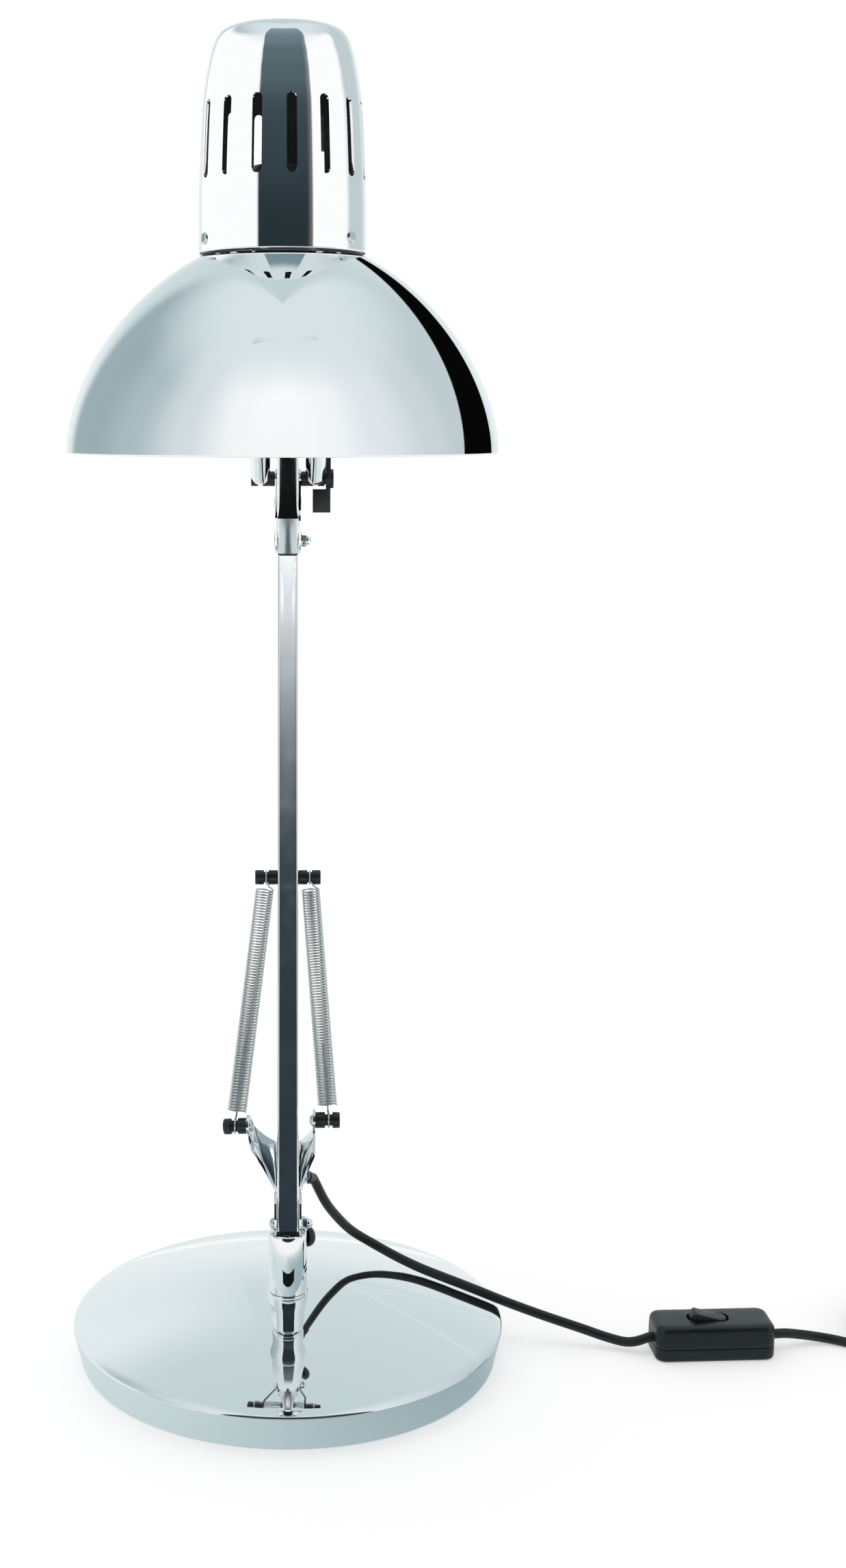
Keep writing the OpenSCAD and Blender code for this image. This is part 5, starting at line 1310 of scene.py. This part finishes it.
# ---------------------------------------------------------------- stage
class Sky:
    """Builds node maths over a direction, for the world and for the far softboxes."""

    def __init__(self, tree, way):
        self.nodes, self.links = tree.nodes, tree.links
        parts = self.nodes.new("ShaderNodeSeparateXYZ")
        self.links.new(way, parts.inputs[0])
        self.x, self.y, self.z = parts.outputs
        flat = self.sum("SQRT", self.sum("ADD", self.sum("MULTIPLY", self.x, self.x),
            self.sum("MULTIPLY", self.y, self.y)))
        self.flat = self.sum("MAXIMUM", flat, 0.0001)
        degrees = 180 / math.pi
        self.turn = self.sum("MULTIPLY", self.sum("ARCTAN2", self.x, self.sum("MULTIPLY", self.y, -1.0)),
            degrees)
        self.rise = self.sum("MULTIPLY", self.sum("ARCSINE", self.z), degrees)

    def sum(self, kind, *values):
        node = self.nodes.new("ShaderNodeMath")
        node.operation = kind
        for i, value in enumerate(values):
            if isinstance(value, (int, float)):
                node.inputs[i].default_value = value
            else:
                self.links.new(value, node.inputs[i])
        return node.outputs[0]

    def ramp(self, value, low, high):
        node = self.nodes.new("ShaderNodeMapRange")
        node.interpolation_type = "SMOOTHSTEP"
        node.inputs["From Min"].default_value, node.inputs["From Max"].default_value = low, high
        self.links.new(value, node.inputs["Value"])
        return node.outputs["Result"]

    def mixed(self, mask, below, above):
        node = self.nodes.new("ShaderNodeMix")
        node.data_type = "RGBA"
        for i, value in ((6, below), (7, above)):
            if isinstance(value, tuple):
                node.inputs[i].default_value = (*value, 1.0)
            else:
                self.links.new(value, node.inputs[i])
        self.links.new(mask, node.inputs["Factor"])
        return node.outputs[2]

    def toward(self, degrees):
        """Cosine of the angle round the lamp from that bearing, 0 being the camera's side."""
        t = math.radians(degrees)
        across = self.sum("MULTIPLY_ADD", self.x, math.sin(t), self.sum("MULTIPLY", self.y, -math.cos(t)))
        return self.sum("DIVIDE", across, self.flat)

    def dark_room(self):
        """Mask of the unlit room behind the camera."""
        return self.sum("MULTIPLY", self.ramp(self.toward(4.5), 0.775, 0.805),
            self.ramp(self.z, 0.95, 0.88))

    def arch(self, middle, wide, high):
        """Mask of an arch that stands on the horizon at that bearing, its sizes in degrees."""
        u = self.sum("DIVIDE", self.sum("SUBTRACT", self.turn, middle), wide)
        v = self.sum("DIVIDE", self.sum("MAXIMUM", self.rise, 0.0), high)
        return self.ramp(self.sum("MULTIPLY_ADD", u, u, self.sum("MULTIPLY", v, v)), 1.03, 0.97)

    def black_flag(self):
        """Mask of the arched black flag at the back right."""
        return self.sum("MULTIPLY", self.arch(147, 37, 35),
            self.sum("SUBTRACT", 1.0, self.arch(171, 26, 22.3)))

    def unlit(self):
        """Colour of the unlit room, a little lighter higher up."""
        low = self.mixed(self.ramp(self.z, -0.1, 0.45), (0.015, 0.024, 0.029), (0.021, 0.035, 0.043))
        return self.mixed(self.ramp(self.z, 0.55, 0.9), low, (0.13, 0.185, 0.21))


# what the tent looks like by bearing, 0 being the camera's side and +90 the picture's right
TENT = ((-180, (0.88, 0.94, 0.95)), (-162, (0.86, 0.92, 0.93)), (-142, (0.36, 0.46, 0.49)),
    (-115, (0.36, 0.46, 0.49)),
    (-85, (0.45, 0.55, 0.585)), (-53, (0.71, 0.78, 0.81)), (-22, (1.0, 1.01, 1.015)),
    (0, (1.08, 1.08, 1.08)),
    (22, (1.0, 1.01, 1.015)), (53, (0.8, 0.86, 0.89)), (85, (0.65, 0.72, 0.745)),
    (105, (0.57, 0.66, 0.685)),
    (150, (0.57, 0.66, 0.685)), (162, (0.8, 0.87, 0.88)), (180, (0.88, 0.94, 0.95)))


def tent_colour(sky):
    """Pale tent round the lamp, greyer at the sides, overhead and high up behind."""
    ramp = sky.nodes.new("ShaderNodeValToRGB")
    ramp.color_ramp.interpolation = "EASE"
    stops = ramp.color_ramp.elements
    for i, (bearing, colour) in enumerate(TENT):
        stop = stops[i] if i < 2 else stops.new(1.0)
        stop.position = bearing / 360 + 0.5
        stop.color = (*colour, 1.0)
    sky.links.new(sky.sum("MULTIPLY_ADD", sky.turn, 1 / 360, 0.5), ramp.inputs["Fac"])
    round_it = sky.mixed(sky.ramp(sky.z, 0.6, 0.97), ramp.outputs["Color"], (0.74, 0.83, 0.86))
    behind = sky.mixed(sky.ramp(sky.z, 0.1, 0.5), (0.86, 0.92, 0.93), (0.65, 0.755, 0.765))
    behind = sky.mixed(sky.ramp(sky.z, 0.5, 0.95), behind, (0.58, 0.69, 0.71))
    rear = sky.sum("MULTIPLY", sky.ramp(sky.toward(180), 0.75, 0.93), sky.ramp(sky.z, -0.3, 0.1))
    return sky.mixed(rear, round_it, behind)


def less(sky, full, taken):
    """Colour of full less what's taken, never below black."""
    node = sky.nodes.new("ShaderNodeMix")
    node.data_type, node.blend_type, node.clamp_result = "RGBA", "SUBTRACT", True
    node.inputs["Factor"].default_value = 1.0
    if isinstance(full, tuple):
        node.inputs[6].default_value = (*full, 1.0)
    else:
        sky.links.new(full, node.inputs[6])
    sky.links.new(taken, node.inputs[7])
    return node.outputs[2]


def studio_world(world):
    """What metal sees of the studio: a pale tent with an unlit gap at the camera and a black flag."""
    world.use_nodes = True
    n, link = world.node_tree.nodes, world.node_tree.links
    spot, paths = n.new("ShaderNodeTexCoord"), n.new("ShaderNodeLightPath")
    sky = Sky(world.node_tree, spot.outputs["Generated"])
    tent = sky.mixed(sky.dark_room(), tent_colour(sky), sky.unlit())
    tent = sky.mixed(sky.black_flag(), tent, (0.002, 0.002, 0.002))
    lit = sky.mixed(paths.outputs["Is Glossy Ray"], (0.62, 0.62, 0.62), tent)
    shown = sky.mixed(paths.outputs["Is Camera Ray"], lit, (1.0, 1.0, 1.0))
    link.new(shown, n["Background"].inputs["Color"])
    n["Background"].inputs["Strength"].default_value = 1.0


def white_sides(sky):
    """Mask of the two white side walls."""
    wide = sky.sum("MAXIMUM", sky.ramp(sky.toward(-92), 0.42, 0.52), sky.ramp(sky.toward(70), 0.8, 0.9))
    return sky.sum("MULTIPLY", wide, sky.ramp(sky.z, 0.75, 0.6))


def left_behind(sky):
    """Mask of the white wall behind at the left."""
    return sky.sum("MULTIPLY", sky.ramp(sky.toward(-125), 0.55, 0.85), sky.ramp(sky.z, 0.75, 0.5))


# pieces of the head that no metal mirrors: the photograph's lower front tube doesn't show them
UNSEEN_BY_METAL = ("spun_shade", "shade_lining", "ribbed_holder", "shade_clamp", "screw_cap", "bulb")


# heights, in a direction of length 1, at which that wall starts and is full
TUBE_WALL_LOW, TUBE_WALL_FULL = 0.57, 0.685


def tube_wall(sky):
    """Strength of the wall high in front, which the lower front tube sees at its top."""
    reach = TUBE_WALL_FULL - TUBE_WALL_LOW
    rise = sky.sum("MAXIMUM", sky.sum("MULTIPLY", sky.sum("SUBTRACT", sky.z, TUBE_WALL_LOW), 1 / reach),
        0.0)
    return sky.sum("MULTIPLY", rise, rise)


CARD_AIM = Vector((0.0, -0.12, 0.45))
CARD_AWAY = 400.0    # so far that every piece sees a card in the same direction, in metres


def far_card(name, bearing, width, height, level, mask, only=None, never=None, through=False):
    """Large distant softbox, masked by direction, that lights some pieces only, or through all others."""
    middle, away, t = CARD_AIM, CARD_AWAY, math.radians(bearing)
    data = bpy.data.lights.new(name, "AREA")
    data.shape = "RECTANGLE"
    data.size, data.size_y = width * away, height * away
    data.energy = data.size * data.size_y * math.pi
    data.use_nodes = True
    n, link = data.node_tree.nodes, data.node_tree.links
    spot, way = n.new("ShaderNodeNewGeometry"), n.new("ShaderNodeVectorMath")
    way.operation = "SUBTRACT"
    way.inputs[1].default_value = middle
    unit = n.new("ShaderNodeVectorMath")
    unit.operation = "NORMALIZE"
    link.new(spot.outputs["Position"], way.inputs[0])
    link.new(way.outputs[0], unit.inputs[0])
    sky = Sky(data.node_tree, unit.outputs[0])
    link.new(level(sky), n["Emission"].inputs["Color"])
    link.new(mask(sky), n["Emission"].inputs["Strength"])
    lamp = bpy.data.objects.new(name, data)
    lamp.location = middle + Vector((away * math.sin(t), -away * math.cos(t), height * away * 0.42))
    lamp.rotation_euler = (math.radians(90), 0, t)
    bpy.context.scene.collection.objects.link(lamp)
    lamp.visible_camera = lamp.visible_diffuse = lamp.visible_transmission = False
    group = bpy.data.collections.new(name + "_pieces")
    for piece in only or never:
        group.objects.link(bpy.data.objects[piece])
    lamp.light_linking.receiver_collection = group
    for item in group.collection_objects:
        item.light_linking.link_state = "INCLUDE" if only else "EXCLUDE"
    if through:
        clear = bpy.data.collections.new(name + "_clear")
        for piece in [o for o in bpy.context.scene.objects if o.type == "MESH"]:
            clear.objects.link(piece)
        lamp.light_linking.blocker_collection = clear
        for item in clear.collection_objects:
            item.light_linking.link_state = "EXCLUDE"
    return lamp


def overhead(at, aim, size, level):
    """Soft lamp above, which lights the floor and the moulded pieces."""
    data = bpy.data.lights.new("overhead", "AREA")
    data.size = size
    data.energy = level * size * size * math.pi
    lamp = bpy.data.objects.new("overhead", data)
    lamp.location = at
    lamp.rotation_euler = (Vector(aim) - Vector(at)).to_track_quat("-Z", "Y").to_euler()
    bpy.context.scene.collection.objects.link(lamp)
    lamp.visible_camera = lamp.visible_glossy = False
    return lamp


def pale_floor():
    """White floor that keeps the lamp's shadow; near the lamp, metal sees it in a painted grey-blue
    reflection, darker in front and at the right.
    """
    floor = mesh_object("floor", [(-12, -12, 0), (12, -12, 0), (12, 12, 0), (-12, 12, 0)], [(0, 1, 2, 3)])
    paper = bpy.data.materials.new("floor_white")
    paper.use_nodes = True
    n, link = paper.node_tree.nodes, paper.node_tree.links
    shader, paths = n["Principled BSDF"], n.new("ShaderNodeLightPath")
    shader.inputs["Roughness"].default_value = 0.95
    shader.inputs["Specular IOR Level"].default_value = 0.0
    spot = n.new("ShaderNodeTexCoord")
    floor_view = Sky(paper.node_tree, spot.outputs["Object"])
    white, none = (1.0, 1.0, 1.0), (0.0, 0.0, 0.0)
    # painted reflection: the floor's colour for glossy rays is grey-blue near the lamp, darker at the right
    # and in front, and white farther out
    near = floor_view.mixed(floor_view.ramp(floor_view.x, -0.12, 0.1), (0.66, 0.77, 0.78),
        (0.35, 0.46, 0.49))
    near = floor_view.mixed(floor_view.ramp(floor_view.y, -0.05, 0.06), near, (0.79, 0.855, 0.86))
    painted_reflection = floor_view.mixed(floor_view.ramp(floor_view.flat, 0.2, 0.7), near, white)
    mirrored = paths.outputs["Is Glossy Ray"]
    link.new(floor_view.mixed(mirrored, (0.86, 0.86, 0.86), none), shader.inputs["Base Color"])
    link.new(floor_view.mixed(mirrored, white, painted_reflection), shader.inputs["Emission Color"])
    glow = n.new("ShaderNodeMapRange")
    glow.inputs["From Min"].default_value, glow.inputs["From Max"].default_value = 0.35, 0.9
    glow.inputs["To Min"].default_value, glow.inputs["To Max"].default_value = 0.4, 1.0
    link.new(floor_view.flat, glow.inputs["Value"])
    link.new(floor_view.sum("MAXIMUM", glow.outputs["Result"], mirrored),
        shader.inputs["Emission Strength"])
    floor.data.materials.append(paper)


# both cards are painted dark reflections: the front one a dark patch of floor, the elbow one the dark that
# the upper arm's underside mirrors
FLAGS = (("front_flag", ((-60, -150, 1.5), (78, -150, 1.5), (128, -216, 1.5), (-100, -216, 1.5))),
    ("elbow_flag", ((-7, -12, 385), (7, -12, 385), (7, 74, 385), (-7, 74, 385))))


def black_flags():
    """Small black cards on the floor in front and under the upper arm, which only metal sees."""
    black = bpy.data.materials.new("flag_black")
    black.use_nodes = True
    shader = black.node_tree.nodes["Principled BSDF"]
    shader.inputs["Base Color"].default_value = (0.006, 0.008, 0.009, 1)
    shader.inputs["Roughness"].default_value = 0.9
    shader.inputs["Specular IOR Level"].default_value = 0.1
    for name, corners in FLAGS:
        card = mesh_object(name, [(x * MM, y * MM, z * MM) for x, y, z in corners], [(0, 1, 2, 3)])
        card.data.materials.append(black)
        card.visible_camera = card.visible_shadow = card.visible_diffuse = False


class LAMP_OT_stage(bpy.types.Operator):
    """Sets a white floor and soft studio light"""

    bl_idname = "lamp.stage"
    bl_label = "Stage"

    def execute(self, context):
        scene = context.scene
        scene.view_settings.view_transform = "Standard"
        pale_floor()
        black_flags()
        scene.world = bpy.data.worlds.new("studio")
        studio_world(scene.world)
        overhead((-0.3, -0.2, 2.2), (0, 0, 0.2), 1.6, 0.9)
        # the shade sees the tent where the room is dark, and the other pieces see it where the flag is
        far_card("front_card", 6, 2.2, 3.2, lambda sky: less(sky, tent_colour(sky), sky.unlit()),
            Sky.dark_room, only=["spun_shade"])
        far_card("flag_card", 147, 1.8, 2.2, tent_colour, Sky.black_flag, never=["spun_shade"])
        # white walls at the sides of the housing, and behind the base at the left
        for name, bearing in (("left_card", -92), ("right_card", 72)):
            far_card(name, bearing, 3.0, 1.9, lambda sky: less(sky, (1.08, 1.08, 1.08), tent_colour(sky)),
                white_sides, only=["slotted_housing"])
        far_card("rear_card", -125, 2.4, 1.9, lambda sky: less(sky, (0.84, 0.91, 0.92), tent_colour(sky)),
            left_behind, only=["base_dome"])
        far_card("crown_card", 4, 2.2, 3.2, lambda sky: sky.mixed(sky.ramp(sky.z, 0.0, 0.7),
            (0.0, 0.0, 0.0), (0.1, 0.14, 0.155)),
            Sky.dark_room, only=["slotted_housing"])
        far_card("tube_card", 0, 1.4, 2.4, lambda sky: sky.mixed(sky.z, (0.95, 1.0, 1.0),
            (0.95, 1.0, 1.0)), tube_wall,
            only=["lower_front_bar"], through=True)
        # hidden from the glossy rays of every piece, since this can't be set for one piece alone
        for piece in UNSEEN_BY_METAL:
            bpy.data.objects[piece].visible_glossy = False
        return {"FINISHED"}


class LAMP_PT_panel(bpy.types.Panel):
    """Sidebar panel with the lamp's sizes, colours and pieces"""

    bl_idname = "LAMP_PT_panel"
    bl_label = "Accordion desk lamp"
    bl_space_type = "VIEW_3D"
    bl_region_type = "UI"
    bl_category = "Desk Lamp"

    def draw(self, context):
        column = self.layout.column()
        for group in (context.scene.lamp_sizes, context.scene.lamp_finishes):
            for key in group.bl_rna.properties.keys():
                if key not in ("rna_type", "name"):
                    column.prop(group, key)
        for step in STEPS:
            column.operator(step.bl_idname)


STEPS = (LAMP_OT_camera, LAMP_OT_cord, LAMP_OT_base, LAMP_OT_stem, LAMP_OT_wings, LAMP_OT_arms,
    LAMP_OT_pins, LAMP_OT_fasteners,
    LAMP_OT_springs, LAMP_OT_brackets, LAMP_OT_shade, LAMP_OT_housing, LAMP_OT_bulb, LAMP_OT_switch,
    LAMP_OT_plug,
    LAMP_OT_kept, LAMP_OT_join_cord, LAMP_OT_stage)
CLASSES = (LampSizes, LampFinishes) + STEPS + (LAMP_PT_panel,)


def register():
    for cls in CLASSES:
        bpy.utils.register_class(cls)
    bpy.types.Scene.lamp_sizes = PointerProperty(type=LampSizes)
    bpy.types.Scene.lamp_finishes = PointerProperty(type=LampFinishes)


def unregister():
    del bpy.types.Scene.lamp_finishes
    del bpy.types.Scene.lamp_sizes
    for cls in reversed(CLASSES):
        bpy.utils.unregister_class(cls)


def main():
    register()
    for step in STEPS:
        group, name = step.bl_idname.split(".")
        getattr(getattr(bpy.ops, group), name)()


if __name__ == "__main__":
    main()
